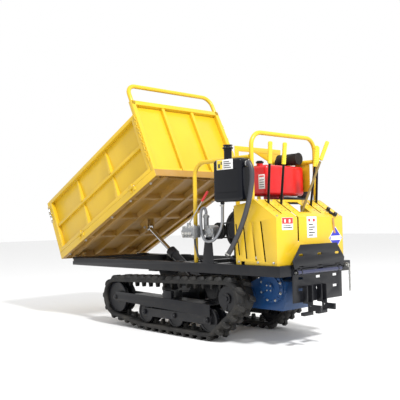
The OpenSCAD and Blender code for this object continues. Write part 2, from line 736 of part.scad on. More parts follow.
return_points = [[tank_low[0] + 40, -444, tank_low[2] - 14 - seat], [578, -444, tank_low[2] - 70],
    [568, -440, rail_z1 + 290], [520, -432, rail_z1 + 215], [450, -424, rail_z1 + 168], [375, -420, rail_z1 + 165],
    [330, -414, rail_z1 + 215], [316, -412, rail_z1 + 290], [316, -412, rail_z1 + 350],
    [318, -404, rail_z1 + 398], [321, -378, rail_z1 + 410], [pump_c[0] - 62, -364, pump_c[1] + 146],
    [pump_c[0] - 62, -364, pump_c[1] + 132], [pump_c[0] - 62, -364, pump_c[1] + 118 + seat]];
module return_hose() {
    color("#4a4b4d") on_machine() hose(return_points, 11, steps = 4);
}

hose_port = [-60, -70, ram_low[1] + 60];
module cylinder_hoses() {
    color("#1a1a1b") on_machine() {
        hose([[250, -416, valve_low[2] - seat], [250, -416, valve_low[2] - 24], [251, -412, valve_low[2] - 60],
              [252, -386, rail_z1 + 50], [240, -325, rail_z1 - 8], [172, -250, rail_z0 + 32],
              [140, -190, rail_z0], [90, -140, rail_z0 - 30], [0, -90, rail_z0 - 55], hose_port],
             8, ref = [1, 0, 0], steps = 4);
    }
}

// ---- guards, hood and console ----

guard_top = rail_z1 + 755;
guard_y = frame_y - 41;
post_x = 205;
rear_x = 792;
rear_half = hood_w / 2 - hood_sheet - guard_r - 1;
rear_top = rail_z1 + 930;

module side_guard(s) {
    bend = 110;
    side(s) {
        translate([post_x, guard_y, rail_z1]) cylinder(r = guard_r, h = guard_top - bend - rail_z1);
        translate([post_x + bend, guard_y, guard_top - bend])
            rotate([90, 0, 0]) rotate([0, 0, 90]) rotate_extrude(angle = 90) translate([bend, 0]) circle(guard_r);
        bar_x(guard_r, post_x + bend, rear_x - guard_r - seat, guard_y, guard_top);
    }
}

module guard_left() {
    color("#e9b81c") on_machine() side_guard(-1);
}

module guard_rear() {
    color("#e9b81c") on_machine() translate([rear_x, 0, 0]) hoop(rear_half, rail_z1, rear_top, 100, guard_r);
}

shield_x = 440;
module engine_shield() {
    color("#d9a317") on_machine() {
        side_guard(1);
        // plate hung from the far tube
        block([600, guard_y - 4, guard_top - 230], [740, guard_y + 2, guard_top - 10]);
        // flat bar across the engine with its gusset and near leg
        block([shield_x - 4, -160, guard_top + 85], [shield_x + 4, guard_y + 10, guard_top + 125]);
        translate([shield_x - 3, 0, 0]) rotate([90, 0, 90]) linear_extrude(6)
            polygon([[60, guard_top + 86], [guard_y, guard_top + 86], [guard_y, guard_top], [guard_y - 90, guard_top]]);
        block([shield_x - 4, -160, rail_z1 + 400], [shield_x + 4, -120, guard_top + 86]);
        block([shield_x - 4, -160, rail_z1 + 400], [shield_x + 40, -120, rail_z1 + 406]);
    }
}

hood_x0 = 641;
hood_crest = 818;
hood_x1 = rail_end_x - 22;
hood_back = hood_top - 130;
hood_pitch = atan2(hood_top - hood_back, hood_x1 - hood_crest);
lever_ys = [-270, -147, 177, 289];
slot_xs = [806, 976];
gate_low = [846, -62];
gate_high = [966, 62];

module hood_slot(y) {
    block([slot_xs[0], y - slot_w / 2, hood_back - 60], [slot_xs[1], y + slot_w / 2, hood_top + 30]);
}

module console_hood() {
    wall = hood_sheet;
    color("#f2c11d") on_machine() difference() {
        slab(-hood_w / 2, hood_w / 2)
            polygon([[hood_x0, rail_z1], [hood_x1, rail_z1], [hood_x1, hood_back], [hood_crest, hood_top],
                     [hood_crest - 14, hood_top - 20]]);
        slab(wall - hood_w / 2, hood_w / 2 - wall)
            polygon([[hood_x0 - 80, rail_z1 - 1], [hood_x1 - wall, rail_z1 - 1], [hood_x1 - wall, hood_back - wall],
                     [hood_crest - 1, hood_top - wall * 1.3], [hood_x0 - 80, hood_top - wall * 1.3]]);
        for (y = lever_ys) hood_slot(y);
        block([hood_x1 - 30, lever_ys[1] - 8, rail_z1 + 147], [hood_x1 + 1, lever_ys[1] + 8, hood_back + 30]);
        block([slot_xs[1] - 4, lever_ys[1] - 8, hood_back - 30], [hood_x1 + 1, lever_ys[1] + 8, hood_top]);
        block([gate_low[0], gate_low[1], hood_back - 30], [gate_high[0], gate_high[1], hood_top + 30]);
        // slanting air slots in both side panels
        for (k = [0 : 3]) translate([700 + 62 * k, 0, rail_z1 + 170 + 6 * k]) rotate([0, 8, 0])
            block([-5, -hood_w, -115], [5, hood_w, 115 - 26 * (k == 0 ? 1 : 0)]);
        // notch at the foot of each side panel
        block([688, -hood_w, rail_z1 - 1], [724, hood_w, rail_z1 + 24]);
    }
}

lever_lean = [4.3, 6.4, 8.8, 3.4];
module control_lever(i) {
    on_machine() translate([lever_pivot[0], lever_ys[i], lever_pivot[1]]) difference() {
        union() {
            color("#1b1b1c") rotate([90, 0, 0]) translate([0, 0, -11]) cylinder(r = 20, h = 22);
            rotate([0, lever_lean[i], 0]) {
                color("#1b1b1c") translate([-9, -4, 15]) cube([18, 8, lever_len - 165]);
                color("#f5d02a") translate([0, 0, lever_len - 155]) cylinder(r = 16, h = 155);
            }
        }
        rotate([90, 0, 0]) translate([0, 0, -20]) cylinder(r = 10, h = 40);
    }
}

gear_pivot = [872, -100, rail_z1 + 70];
gear_tip = [1030, 207, rail_z1 + 876];
gear_ball_r = 17;
module gear_lever() {
    reach = gear_tip - gear_pivot;
    tilt = acos(reach[2] / norm(reach));
    heading = atan2(reach[1], reach[0]);
    on_machine() translate(gear_pivot) {
        color("#8a7740") sphere(r = gear_ball_r);
        color("#8a7740") rotate([90, 0, 0]) translate([0, 0, -24]) cylinder(r = 8, h = 48);
        rotate([0, tilt, heading]) {
            color("#8a7740") translate([0, 0, 8]) cylinder(r = 9, h = norm(reach) - 150);
            color("#f5d02a") translate([0, 0, norm(reach) - 150]) cylinder(r = 15, h = 150);
        }
    }
}

throttle_at = [984, 283];
module throttle_lever() {
    z = hood_top - (throttle_at[0] - hood_crest) * tan(hood_pitch);
    color("#151516") on_machine() translate([throttle_at[0], throttle_at[1], z]) rotate([0, hood_pitch, 0]) {
        translate([0, 0, seat]) cylinder(r = 16, h = 14);
        translate([-36, -6, 8]) cube([72, 12, 8]);
        for (x = [-36, 36]) translate([x, 0, 6]) cylinder(r = 15, h = 26);
    }
}

// ---- rear plate and footboard ----

plate_half = foot_w / 2;
plate_z0 = rail_z0 - 182;
foot_rise = 187;
module rear_plate() {
    x0 = plate_x;
    x1 = plate_x + plate_t;
    color("#1e1f22") on_machine() {
        difference() {
            block([x0, -plate_half, plate_z0], [x1, plate_half, rail_z1 - 8]);
            for (y = [-0.7, 0, 0.7]) for (z = [rail_z0 - 18, rail_z0 - 95])
                block([x0 - 1, y * plate_half - 26, z - 9], [x1 + 1, y * plate_half + 26, z + 9]);
        }
        // channel legs with the tow hooks under them
        for (y = [-150, 10]) {
            difference() {
                block([x1 - 0.01, y - 32, plate_z0 - 8], [x1 + 40, y + 32, plate_z0 + 112]);
                block([x1 + 6, y - 24, plate_z0 - 9], [x1 + 41, y + 24, plate_z0 + 113]);
            }
            difference() {
                block([x1 + 8, y + 12, plate_z0 - 88], [x1 + 40, y + 32, plate_z0]);
                bar_y(9, y - 40, y + 40, x1 + 24, plate_z0 - 30);
            }
            difference() {
                block([x1 + 8, y - 66, plate_z0 - 88], [x1 + 40, y + 12.01, plate_z0 - 66]);
                translate([x1 + 24, y - 44, plate_z0 - 90]) cylinder(r = 8, h = 30);
            }
            block([x1 + 40, y + 12, plate_z0 - 60], [hook_x, y + 32, plate_z0 - 20]);
        }
        // hinge lugs for the footboard
        for (s = [-1, 1]) for (e = [-1, 1]) difference() {
            slab(s * foot_lug_y + e * 24 - 4, s * foot_lug_y + e * 24 + 4) union() {
                translate([foot_hinge_x, foot_hinge_z]) circle(15);
                translate([x1 - 1, foot_hinge_z - 15]) square([foot_hinge_x - x1 + 1, 30]);
            }
            bar_y(8, -foot_w, foot_w, foot_hinge_x, foot_hinge_z);
        }
    }
}

module footboard() {
    x0 = foot_hinge_x - 4;
    top = foot_hinge_z + foot_rise;
    color("#232a3f") on_machine() difference() {
        union() {
            translate([x0, 0, 0]) rotate([90, 0, 90]) linear_extrude(6)
                polygon([[-plate_half, foot_hinge_z + 24], [plate_half, foot_hinge_z + 24],
                         [plate_half + 16, foot_hinge_z + 80], [0.74 * plate_half, top],
                         [-0.74 * plate_half, top], [-plate_half - 16, foot_hinge_z + 80]]);
            difference() {
                bar_y(14, -foot_lug_y - 18, foot_lug_y + 18, foot_hinge_x, foot_hinge_z);
                for (s = [-1, 1]) for (e = [-1, 1])
                    bar_y(18, s * foot_lug_y + e * 24 - 5, s * foot_lug_y + e * 24 + 5, foot_hinge_x, foot_hinge_z);
            }
            both_sides() for (y = [[foot_lug_y - 18, foot_lug_y + 18], [36, foot_lug_y - 32]])
                block([x0, y[0], foot_hinge_z], [x0 + 6, y[1], foot_hinge_z + 26]);
        }
        bar_y(8 + fit, -foot_w, foot_w, foot_hinge_x, foot_hinge_z);
        // three round-ended slots and three narrow ones
        for (y = [-0.74, 0, 0.74]) {
            block([x0 - 1, y * plate_half - 26, foot_hinge_z + 108], [x0 + 8, y * plate_half + 26, foot_hinge_z + 126]);
            block([x0 - 1, y * plate_half - 28, foot_hinge_z + 36], [x0 + 8, y * plate_half + 28, foot_hinge_z + 43]);
        }
    }
}

lock_at = [plate_x + 24, plate_half + 44, rail_z1 - 30];
module lock_pin_chain() {
    reach = 24 / 2 - 2.2;
    color("silver") on_machine() {
        difference() {
            block([plate_x, lock_at[1] - 6, lock_at[2] - 16], [lock_at[0] + 16, lock_at[1], lock_at[2] + 16]);
            bar_y(7, lock_at[1] - 7, lock_at[1] + 1, lock_at[0], lock_at[2]);
        }
        bar_y(7, lock_at[1] - 20, lock_at[1] + 26, lock_at[0], lock_at[2]);
        bar_y(2.2, lock_at[1] + 26, lock_at[1] + 40, lock_at[0], lock_at[2]);
        translate([lock_at[0], lock_at[1] + 34, lock_at[2] - reach]) rotate([0, 90, 0]) chain(8, 24, 2.2);
    }
}

// ---- tipping bed ----

module on_bed() {
    on_machine() translate([hinge_x, 0, hinge_z]) rotate([0, -bed_tip, 0])
        translate([-hinge_in, 0, hinge_drop]) children();
}

bearer_y = frame_y - rail_flange + 5;
lug_y = bearer_y - 60;
module bed_frame() {
    side_w = 44;
    color("#e8b71b") on_bed() difference() {
        union() {
            // floor plate and the frame round it
            block([0, -bed_y, floor_h - bed_sheet], [bed_len, bed_y, floor_h]);
            both_sides() difference() {
                block([0, bed_y - side_w, 0], [bed_len, bed_y, floor_h]);
                block([-1, bed_y - side_w - 1, 5], [bed_len + 1, bed_y - 5, floor_h - 5]);
            }
            for (u = [0, bed_len - side_w]) difference() {
                block([u, 5 - bed_y, 0], [u + side_w, bed_y - 5, floor_h - 1]);
                block([u + 5, 10 - bed_y, -1], [u + side_w - 5, bed_y - 10, floor_h - bed_sheet - 1]);
            }
            // bearers that lie on the rails, and the inner ones
            both_sides() block([20, bearer_y, 0], [bed_len - 20, bearer_y + 40, floor_h - 1]);
            both_sides() block([20, 120, 8], [bed_len - 20, 156, floor_h - 1]);
            for (u = [0.27, 0.5, 0.73]) block([u * bed_len, 10 - bed_y, 14], [u * bed_len + 36, bed_y - 10, floor_h - 1]);
            // pivot lugs
            both_sides() slab(lug_y, lug_y + 14) union() {
                translate([hinge_in, -hinge_drop]) circle(26);
                polygon([[hinge_in - 26, -hinge_drop], [hinge_in + 26, -hinge_drop], [hinge_in + 60, 1],
                         [hinge_in - 26, 1]]);
            }
            both_sides() block([hinge_in - 26, lug_y - 10, 0], [hinge_in + 80, lug_y + 30, 10]);
            // ears for the cylinder's pin
            both_sides() slab(eye_w / 2 + 14, eye_w / 2 + 26) polygon([[clevis_u - 60, 20], [clevis_u - 24, clevis_w - 22],
                [clevis_u + 24, clevis_w - 22], [clevis_u + 60, 20]]);
            block([clevis_u - 70, -130, 10], [clevis_u + 70, 130, 22]);
            hinge_knuckles([[-40, -14], [15, 41]]);
        }
        bar_y(pivot_r + fit, -bed_y, bed_y, hinge_in, -hinge_drop);
        bar_y(ram_pin_r, -100, 100, clevis_u, clevis_w);
        hinge_bores(0);
    }
}

// Knuckles over given stretches, at every board hinge of the frame.
module hinge_knuckles(stretches) {
    both_sides() for (u = side_hinges) for (k = stretches)
        side_knuckle(u + k[0], u + k[1], -1);
    for (y = gate_hinges) for (k = stretches)
        gate_knuckle(y + k[0], y + k[1], -1);
}

module side_knuckle(u0, u1, up) {
    bar_x(knuckle_r, u0, u1, bed_y + knuckle_out, board_z0 - 1);
    if (up < 0)
        block([u0, bed_y - 1, board_z0 - 34], [u1, bed_y + knuckle_out - 1, board_z0 - 1]);
    else
        block([u0, bed_y - 1, board_z0 + 2], [u1, bed_y + knuckle_out - 1, board_z0 + 34]);
}

module gate_knuckle(y0, y1, up) {
    bar_y(knuckle_r, y0, y1, -knuckle_out, board_z0 - 1);
    if (up < 0)
        block([1 - knuckle_out, y0, board_z0 - 34], [1, y1, board_z0 - 1]);
    else
        block([1 - knuckle_out, y0, board_z0 + 2], [1, y1, board_z0 + 34]);
}

module hinge_bores(extra) {
    both_sides() for (u = side_hinges)
        bar_x(hinge_pin_r + extra, u - 60, u + 60, bed_y + knuckle_out, board_z0 - 1);
    for (y = gate_hinges)
        bar_y(hinge_pin_r + extra, y - 60, y + 60, -knuckle_out, board_z0 - 1);
}

module hinge_pins() {
    color("silver") on_bed() {
        both_sides() for (u = side_hinges)
            bar_x(hinge_pin_r, u - 44, u + 45, bed_y + knuckle_out, board_z0 - 1);
        for (y = gate_hinges)
            bar_y(hinge_pin_r, y - 44, y + 45, -knuckle_out, board_z0 - 1);
        // the cylinder's upper pin, stopped short of the rod's eye
        both_sides() bar_y(ram_pin_r, eye_w / 2 + seat, eye_w / 2 + 36, clevis_u, clevis_w);
    }
}

// A pressed board lying in X and Z: panel at the inside, frame, ribs and one rail outside it.
module board(length, ribs, rail_at) {
    edge = 34;
    block([0, 0, 0], [length, bed_sheet, board_h]);
    for (z = [0, board_h - edge]) block([0, 0, z], [length, board_t, z + edge]);
    for (x = [0, length - edge]) block([x, 0, 0], [x + edge, board_t, board_h]);
    for (k = [1 : ribs]) block([k * length / (ribs + 1) - 14, 0, 0], [k * length / (ribs + 1) + 14, board_t - 3, board_h]);
    block([0, 0, rail_at - 13], [length, board_t - 8, rail_at + 13]);
}

side_u0 = board_t + 2;
side_len = bed_len - 2 * board_t - 4;
module side_board(s) {
    color("#f3c51f") on_bed() side(s) difference() {
        union() {
            translate([side_u0, bed_y - board_t, board_z0]) board(side_len, 2, 0.48 * board_h);
            for (u = side_hinges) side_knuckle(u - 13, u + 14, 1);
        }
        hinge_bores(fit);
    }
}

module tailgate() {
    color("#f0c01e") on_bed() difference() {
        union() {
            translate([board_t, -bed_y + 1, board_z0]) rotate(90) board(bed_w - 2, 2, 0.48 * board_h);
            for (y = gate_hinges) gate_knuckle(y - 13, y + 14, 1);
        }
        hinge_bores(fit);
    }
    color("#e0b020") on_bed() both_sides() hung_chain(board_t / 2, bed_y - 1, board_z1 - 60, 6);
}

module headboard() {
    u0 = bed_len - board_t;
    post = 40;
    color("#f6ca22") on_bed() {
        block([u0, -bed_y, floor_h], [u0 + bed_sheet, bed_y, head_z1]);
        both_sides() block([u0, bed_y - post, floor_h], [bed_len, bed_y, head_z1]);
        block([u0, -bed_y, head_z1 - post], [bed_len, bed_y, head_z1]);
        block([u0, -bed_y, floor_h], [bed_len - 20, bed_y, floor_h + 30]);
        for (y = [-bed_y / 3, bed_y / 3]) block([u0, y - 15, floor_h], [bed_len - 6, y + 15, head_z1 - post + 1]);
    }
}

module headboard_guard() {
    color("#f0bf1e") on_bed() translate([bed_len - board_t / 2, 0, 0])
        hoop(bed_y - 20, head_z1, loop_z1 - loop_d / 2, loop_bend, loop_d / 2);
}

chain_pitch = 30;
chain_wire = 2.6;
// A chain against the side face at y, from a staple at length u and height w.
module hung_chain(u, y, w, links) {
    half = chain_pitch / 2 - chain_wire;
    chain_y = y + link_half(chain_wire) + chain_wire + seat;
    translate([u, chain_y, w - half]) rotate([0, 90, 0]) chain(links, chain_pitch, chain_wire);
    bar_y(chain_wire, y, chain_y + 6, u, w);
}

module bed_chains() {
    color("#e0b020") on_bed() both_sides() {
        hung_chain(bed_len - board_t / 2, bed_y, board_z1 - 20, floor(0.82 * board_h / chain_pitch));
    }
}

// ---- tipping cylinder ----

module on_ram() {
    on_machine() translate([ram_low[0], 0, ram_low[1]]) rotate([0, ram_angle - 180, 0]) children();
}

gland_r = barrel_r + 9;
module cylinder_barrel() {
    color("#151517") on_ram() difference() {
        union() {
            bar_y(34, -barrel_r, barrel_r, 0, 0);
            bar_x(barrel_r, 26, barrel_len - 30, 0, 0);
            bar_x(gland_r, barrel_len - 66, barrel_len, 0, 0);
            translate([60, 0, barrel_r - 4]) cylinder(r = 13, h = 20);
        }
        bar_x(barrel_r - 7, 50, barrel_len - 60, 0, 0);
        bar_x(rod_r + fit, 50, barrel_len + 1, 0, 0);
        bar_y(ram_pin_r + fit, -100, 100, 0, 0);
    }
}

piston_x = 302;
module cylinder_rod() {
    color("#c9ccce") on_ram() {
        bar_x(rod_r, piston_x, ram_len - 24, 0, 0);
        bar_x(barrel_r - 7.1, piston_x - 40, piston_x, 0, 0);
        difference() {
            bar_y(30, -eye_w / 2, eye_w / 2, ram_len, 0);
            bar_y(ram_pin_r, -100, 100, ram_len, 0);
        }
    }
}

chassis_frame();
pivot_pins();
undercarriage_frame();
track_beam(1);  // track_beam_r
track_beam(-1);  // track_beam_l
track_belt(1);  // track_belt_r
track_belt(-1);  // track_belt_l
sprocket(1);  // sprocket_r
sprocket(-1);  // sprocket_l
idler(1);  // idler_r
idler(-1);  // idler_l
roller(1, 0);  // roller_r1
roller(1, 1);  // roller_r2
roller(1, 2);  // roller_r3
roller(-1, 0);  // roller_l1
roller(-1, 1);  // roller_l2
roller(-1, 2);  // roller_l3
roller_axles();
gearbox_housing();
gearbox_cover();
input_pulley();
engine_block();
flywheel();
fuel_tank();
fuel_cap();
air_filter();
muffler();
drive_belts();
hydraulic_pump();
pump_pulley();
control_valve();
valve_lever();
hydraulic_tank();
tank_cap();
suction_hose();
return_hose();
cylinder_hoses();
guard_left();
guard_rear();
engine_shield();
console_hood();
control_lever(3);  // steer_lever_r
control_lever(0);  // steer_lever_l
control_lever(1);  // clutch_lever
control_lever(2);  // brake_lever
gear_lever();
throttle_lever();
rear_plate();
footboard();
lock_pin_chain();
bed_frame();
headboard();
headboard_guard();
side_board(1);  // side_board_r
side_board(-1);  // side_board_l
tailgate();
bed_chains();
hinge_pins();
cylinder_barrel();
cylinder_rod();
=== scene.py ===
import bpy
import bmesh
import json
from math import acos, atan2, cos, hypot, pi, radians, sin, sqrt, tan
from mathutils import Matrix, Vector


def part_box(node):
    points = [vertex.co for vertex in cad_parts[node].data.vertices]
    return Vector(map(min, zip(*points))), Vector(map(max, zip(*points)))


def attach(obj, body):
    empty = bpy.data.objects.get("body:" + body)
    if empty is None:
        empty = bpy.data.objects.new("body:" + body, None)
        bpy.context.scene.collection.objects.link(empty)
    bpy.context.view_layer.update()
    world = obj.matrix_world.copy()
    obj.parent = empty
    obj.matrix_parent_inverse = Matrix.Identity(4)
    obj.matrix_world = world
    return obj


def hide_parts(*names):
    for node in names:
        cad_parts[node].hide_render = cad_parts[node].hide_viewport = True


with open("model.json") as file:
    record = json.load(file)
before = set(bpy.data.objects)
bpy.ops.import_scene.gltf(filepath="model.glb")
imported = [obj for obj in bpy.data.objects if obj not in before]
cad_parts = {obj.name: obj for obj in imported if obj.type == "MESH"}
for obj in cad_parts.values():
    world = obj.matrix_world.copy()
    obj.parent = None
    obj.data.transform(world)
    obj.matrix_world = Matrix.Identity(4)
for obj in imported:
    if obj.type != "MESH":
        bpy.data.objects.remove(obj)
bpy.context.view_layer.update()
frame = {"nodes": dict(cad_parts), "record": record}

shift = 311.19  # the machine's stations count from the drive end, in millimetres
trackY = 340.0  # from the machine's middle to the middle of a track


def at(x, y, z):  # a station in millimetres to a place in the row frame
    return Vector(((x + shift) / 1000, y / 1000, z / 1000))


alongX, alongY, alongZ = (Vector(axis) for axis in ((1, 0, 0), (0, 1, 0), (0, 0, 1)))
toFrame = Matrix.Translation(at(0, 0, 0))


# tree helpers

def put(tree, kind, props=None, **values):
    node = tree.nodes.new(kind)
    for key, value in (props or {}).items():
        setattr(node, key, value)
    for key, value in values.items():
        byNumber = key[0] == "n" and key[1:].isdigit()  # n3 is the fourth socket; other keys are socket names
        socket = node.inputs[int(key[1:]) if byNumber else key.replace("_", " ")]
        if isinstance(value, bpy.types.NodeSocket):
            tree.links.new(value, socket)
        else:
            socket.default_value = value
    return node


def newGroup(name, kind, inputs, outputs):
    tree = bpy.data.node_groups.new(name, kind)
    for label, socketType, value in inputs:
        socket = tree.interface.new_socket(label, in_out="INPUT", socket_type=socketType)
        if value is not None:
            socket.default_value = value
    for label, socketType in outputs:
        tree.interface.new_socket(label, in_out="OUTPUT", socket_type=socketType)
    return tree, tree.nodes.new("NodeGroupInput"), tree.nodes.new("NodeGroupOutput")


number = "NodeSocketFloat"


def ranged(tree, value, low, high, first=0., last=1.):
    return put(tree, "ShaderNodeMapRange", n0=value, n1=low, n2=high, n3=first, n4=last).outputs[0]


def product(tree, a, b, clamp=False):
    return put(tree, "ShaderNodeMath", {"operation": "MULTIPLY", "use_clamp": clamp}, n0=a, n1=b).outputs[0]


def mixed(tree, share, a, b):  # two colours
    return put(tree, "ShaderNodeMix", {"data_type": "RGBA"}, n0=share, n6=a, n7=b).outputs[2]


def edgeWearGroup():  # rubbed corners, and on the track rubber partly painted highlight on the lug edges: where a rounded normal parts from the flat one, broken up by noise
    tree, given, result = newGroup("edgeWearAndHighlight", "ShaderNodeTree",
                                   [("Radius", number, .003), ("Amount", number, .5), ("Scale", number, 60.)],
                                   [("Mask", number)])
    place = put(tree, "ShaderNodeTexCoord")
    rounded = put(tree, "ShaderNodeBevel", {"samples": 4}, Radius=given.outputs["Radius"])
    flat = put(tree, "ShaderNodeNewGeometry")
    dot = put(tree, "ShaderNodeVectorMath", {"operation": "DOT_PRODUCT"}, n0=rounded.outputs[0],
              n1=flat.outputs["Normal"])
    bent = ranged(tree, dot.outputs["Value"], .995, .80)
    spots = put(tree, "ShaderNodeTexNoise", Vector=place.outputs["Object"], Scale=given.outputs["Scale"], Detail=4.)
    both = product(tree, bent, ranged(tree, spots.outputs[0], .48, .66))
    tree.links.new(product(tree, both, given.outputs["Amount"]), result.inputs["Mask"])
    return tree


def grimeGroup():  # dust and mud splashes that thin out with height
    tree, given, result = newGroup("grime", "ShaderNodeTree",
                                   [("Amount", number, .3), ("Height", number, .5), ("Scale", number, 6.)],
                                   [("Mask", number)])
    place = put(tree, "ShaderNodeTexCoord")
    axes = put(tree, "ShaderNodeSeparateXYZ", Vector=place.outputs["Object"])
    low = ranged(tree, axes.outputs["Z"], given.outputs["Height"], 0., .12)
    broad = put(tree, "ShaderNodeTexNoise", Vector=place.outputs["Object"], Scale=given.outputs["Scale"], Detail=8.,
                Roughness=.65)
    both = product(tree, low, ranged(tree, broad.outputs[0], .42, .72))
    tree.links.new(product(tree, both, given.outputs["Amount"], True), result.inputs["Mask"])
    return tree


def grainGroup():  # fine height for bump and a slow tone for colour
    tree, given, result = newGroup("grain", "ShaderNodeTree",
                                   [("Scale", number, 300.), ("Stretch", number, 1.)],
                                   [("Height", number), ("Tone", number)])
    place = put(tree, "ShaderNodeTexCoord")
    stretch = put(tree, "ShaderNodeCombineXYZ", X=given.outputs["Stretch"], Y=1., Z=1.)
    scaled = put(tree, "ShaderNodeVectorMath", {"operation": "MULTIPLY"}, n0=place.outputs["Object"],
                 n1=stretch.outputs[0])
    fine = put(tree, "ShaderNodeTexNoise", Vector=scaled.outputs[0], Scale=given.outputs["Scale"], Detail=3.)
    slow = put(tree, "ShaderNodeTexNoise", Vector=place.outputs["Object"], Scale=5., Detail=3.)
    tree.links.new(fine.outputs[0], result.inputs["Height"])
    tree.links.new(slow.outputs[0], result.inputs["Tone"])
    return tree


edgeWearAndHighlight, grime, grain = edgeWearGroup(), grimeGroup(), grainGroup()

# what each finish is made of: its slot, its own, rubbed and dusty colours (linear), then how strong each effect is
finishColumns = ("slot", "base", "under", "dust", "rough", "coat", "wear", "grime", "reach", "bump", "scale", "metal",
                 "spec")
finishRows = dict(
    yellowPaint=("yellow_paint", (.68, .44, .013), (.42, .25, .05), (.50, .36, .14), .36, .15, .25, .16, 1.5, .04, 420),
    # undersidePaintedShade: the yellow paint darkened, painted shade for the faces under the bed, not a paint of its
    # own
    undersidePaintedShade=("yellow_paint", (.36, .19, .02), (.25, .15, .06), (.36, .24, .12), .5, .1, .5, .8, 2.4, .06, 320),
    blackPaint=("black_paint", (.0055, .006, .0085), (.10, .10, .11), (.055, .052, .048), .34, .05, .6, .26, .9, .06,
                380, 0., .28),
    # trackRubber: its light rubbed colour, laid strongly on the edges, is partly real wear and partly painted highlight
    # on the lug edges
    trackRubber=("track_rubber", (.010, .010, .0105), (.24, .22, .19), (.085, .078, .066), .60, 0, 1.2, .55, .7, .35,
                 240, 0., .3),
    bluePaint=("blue_paint", (.006, .050, .165), (.10, .12, .15), (.05, .06, .07), .40, .1, .6, .5, .8, .22, 170, 0.,
               .35),
    navyPaint=("black_paint", (.016, .020, .062), (.08, .08, .11), (.14, .14, .15), .34, .3, .8, .35, 1.0, .05, 380),
    redPaint=("red_paint", (.60, .003, .005), (.25, .04, .04), (.30, .10, .08), .28, .2, .4, .15, 2.0, .03, 420),
    engineIron=("engine_iron", (.022, .023, .025), (.20, .20, .20), (.06, .056, .05), .52, 0, .8, .5, 1.4, .35, 210,
                .55),
    exhaustSteel=("engine_iron", (.016, .013, .012), (.09, .06, .04), (.06, .045, .035), .70, 0, .7, .6, 2.4, .3, 160,
                  .4),
    castAlloy=("cast_alloy", (.36, .37, .38), (.62, .62, .62), (.16, .15, .14), .42, 0, .8, .5, 1.6, .28, 230, .8),
    blackPlastic=("black_plastic", (.005, .006, .009), (.03, .03, .033), (.05, .05, .055), .28, .05, .4, .25, 2.0, .06,
                  500, 0., .35),
    hoseRubber=("hose_rubber", (.034, .035, .042), (.08, .08, .08), (.09, .085, .08), .42, .05, .3, .4, 1.6, .18, 420),
    braidedSteel=("hose_rubber", (.30, .31, .33), (.5, .5, .5), (.15, .14, .13), .38, 0, .3, .35, 1.5, .7, 620, .85),
    zincSteel=("zinc_steel", (.52, .52, .50), (.30, .22, .14), (.24, .21, .17), .34, 0, .5, .4, 1.2, .12, 300, .9),
    chromedRod=("chromed_rod", (.70, .71, .73), (.5, .5, .5), (.30, .28, .25), .10, 0, .1, .25, 1.6, .02, 500, 1.),
    leverBlack=("lever_steel", (.004, .004, .0045), (.14, .14, .14), (.05, .05, .05), .36, 0, .8, .15, 2.0, .05, 380,
                0., .3),
    gripYellow=("lever_steel", (.80, .60, .020), (.70, .52, .10), (.45, .35, .12), .46, .1, .1, .25, 2.4, .10, 260),
    gripRed=("zinc_steel", (.62, .008, .010), (.5, .1, .1), (.3, .15, .13), .38, .3, .3, .2, 2.0, .06, 300),
    khakiPaint=("lever_steel", (.20, .135, .035), (.40, .38, .34), (.26, .22, .15), .42, .15, .7, .3, 2.0, .12, 200,
                .3),
    beltRubber=("hose_rubber", (.012, .012, .012), (.05, .05, .05), (.08, .08, .075), .62, 0, .3, .4, 2.0, .25, 300),
    printWhite=(None, (.80, .80, .79), (.6, .6, .6), (.5, .48, .42), .35, .3, .1, .2, 2.0, .02, 500),
    printRed=(None, (.72, .02, .02), (.6, .3, .3), (.4, .2, .2), .35, .3, .1, .2, 2.0, .02, 500),
    printBlue=(None, (.015, .02, .42), (.3, .3, .5), (.2, .2, .3), .35, .3, .1, .2, 2.0, .02, 500),
    printBlack=(None, (.015, .015, .018), (.1, .1, .1), (.1, .1, .1), .4, .2, .1, .2, 2.0, .02, 500),
    glossBlack=("black_plastic", (.003, .0036, .006), (.02, .02, .025), (.03, .03, .03), .14, 0, .3, .15, 2.0, .02,
                420, 0., .25),
    strapTan=(None, (.42, .22, .07), (.5, .35, .2), (.35, .28, .2), .7, 0, .2, .3, 2.0, .5, 480),
)
finishes = {name: dict(zip(finishColumns, row)) for name, row in finishRows.items()}


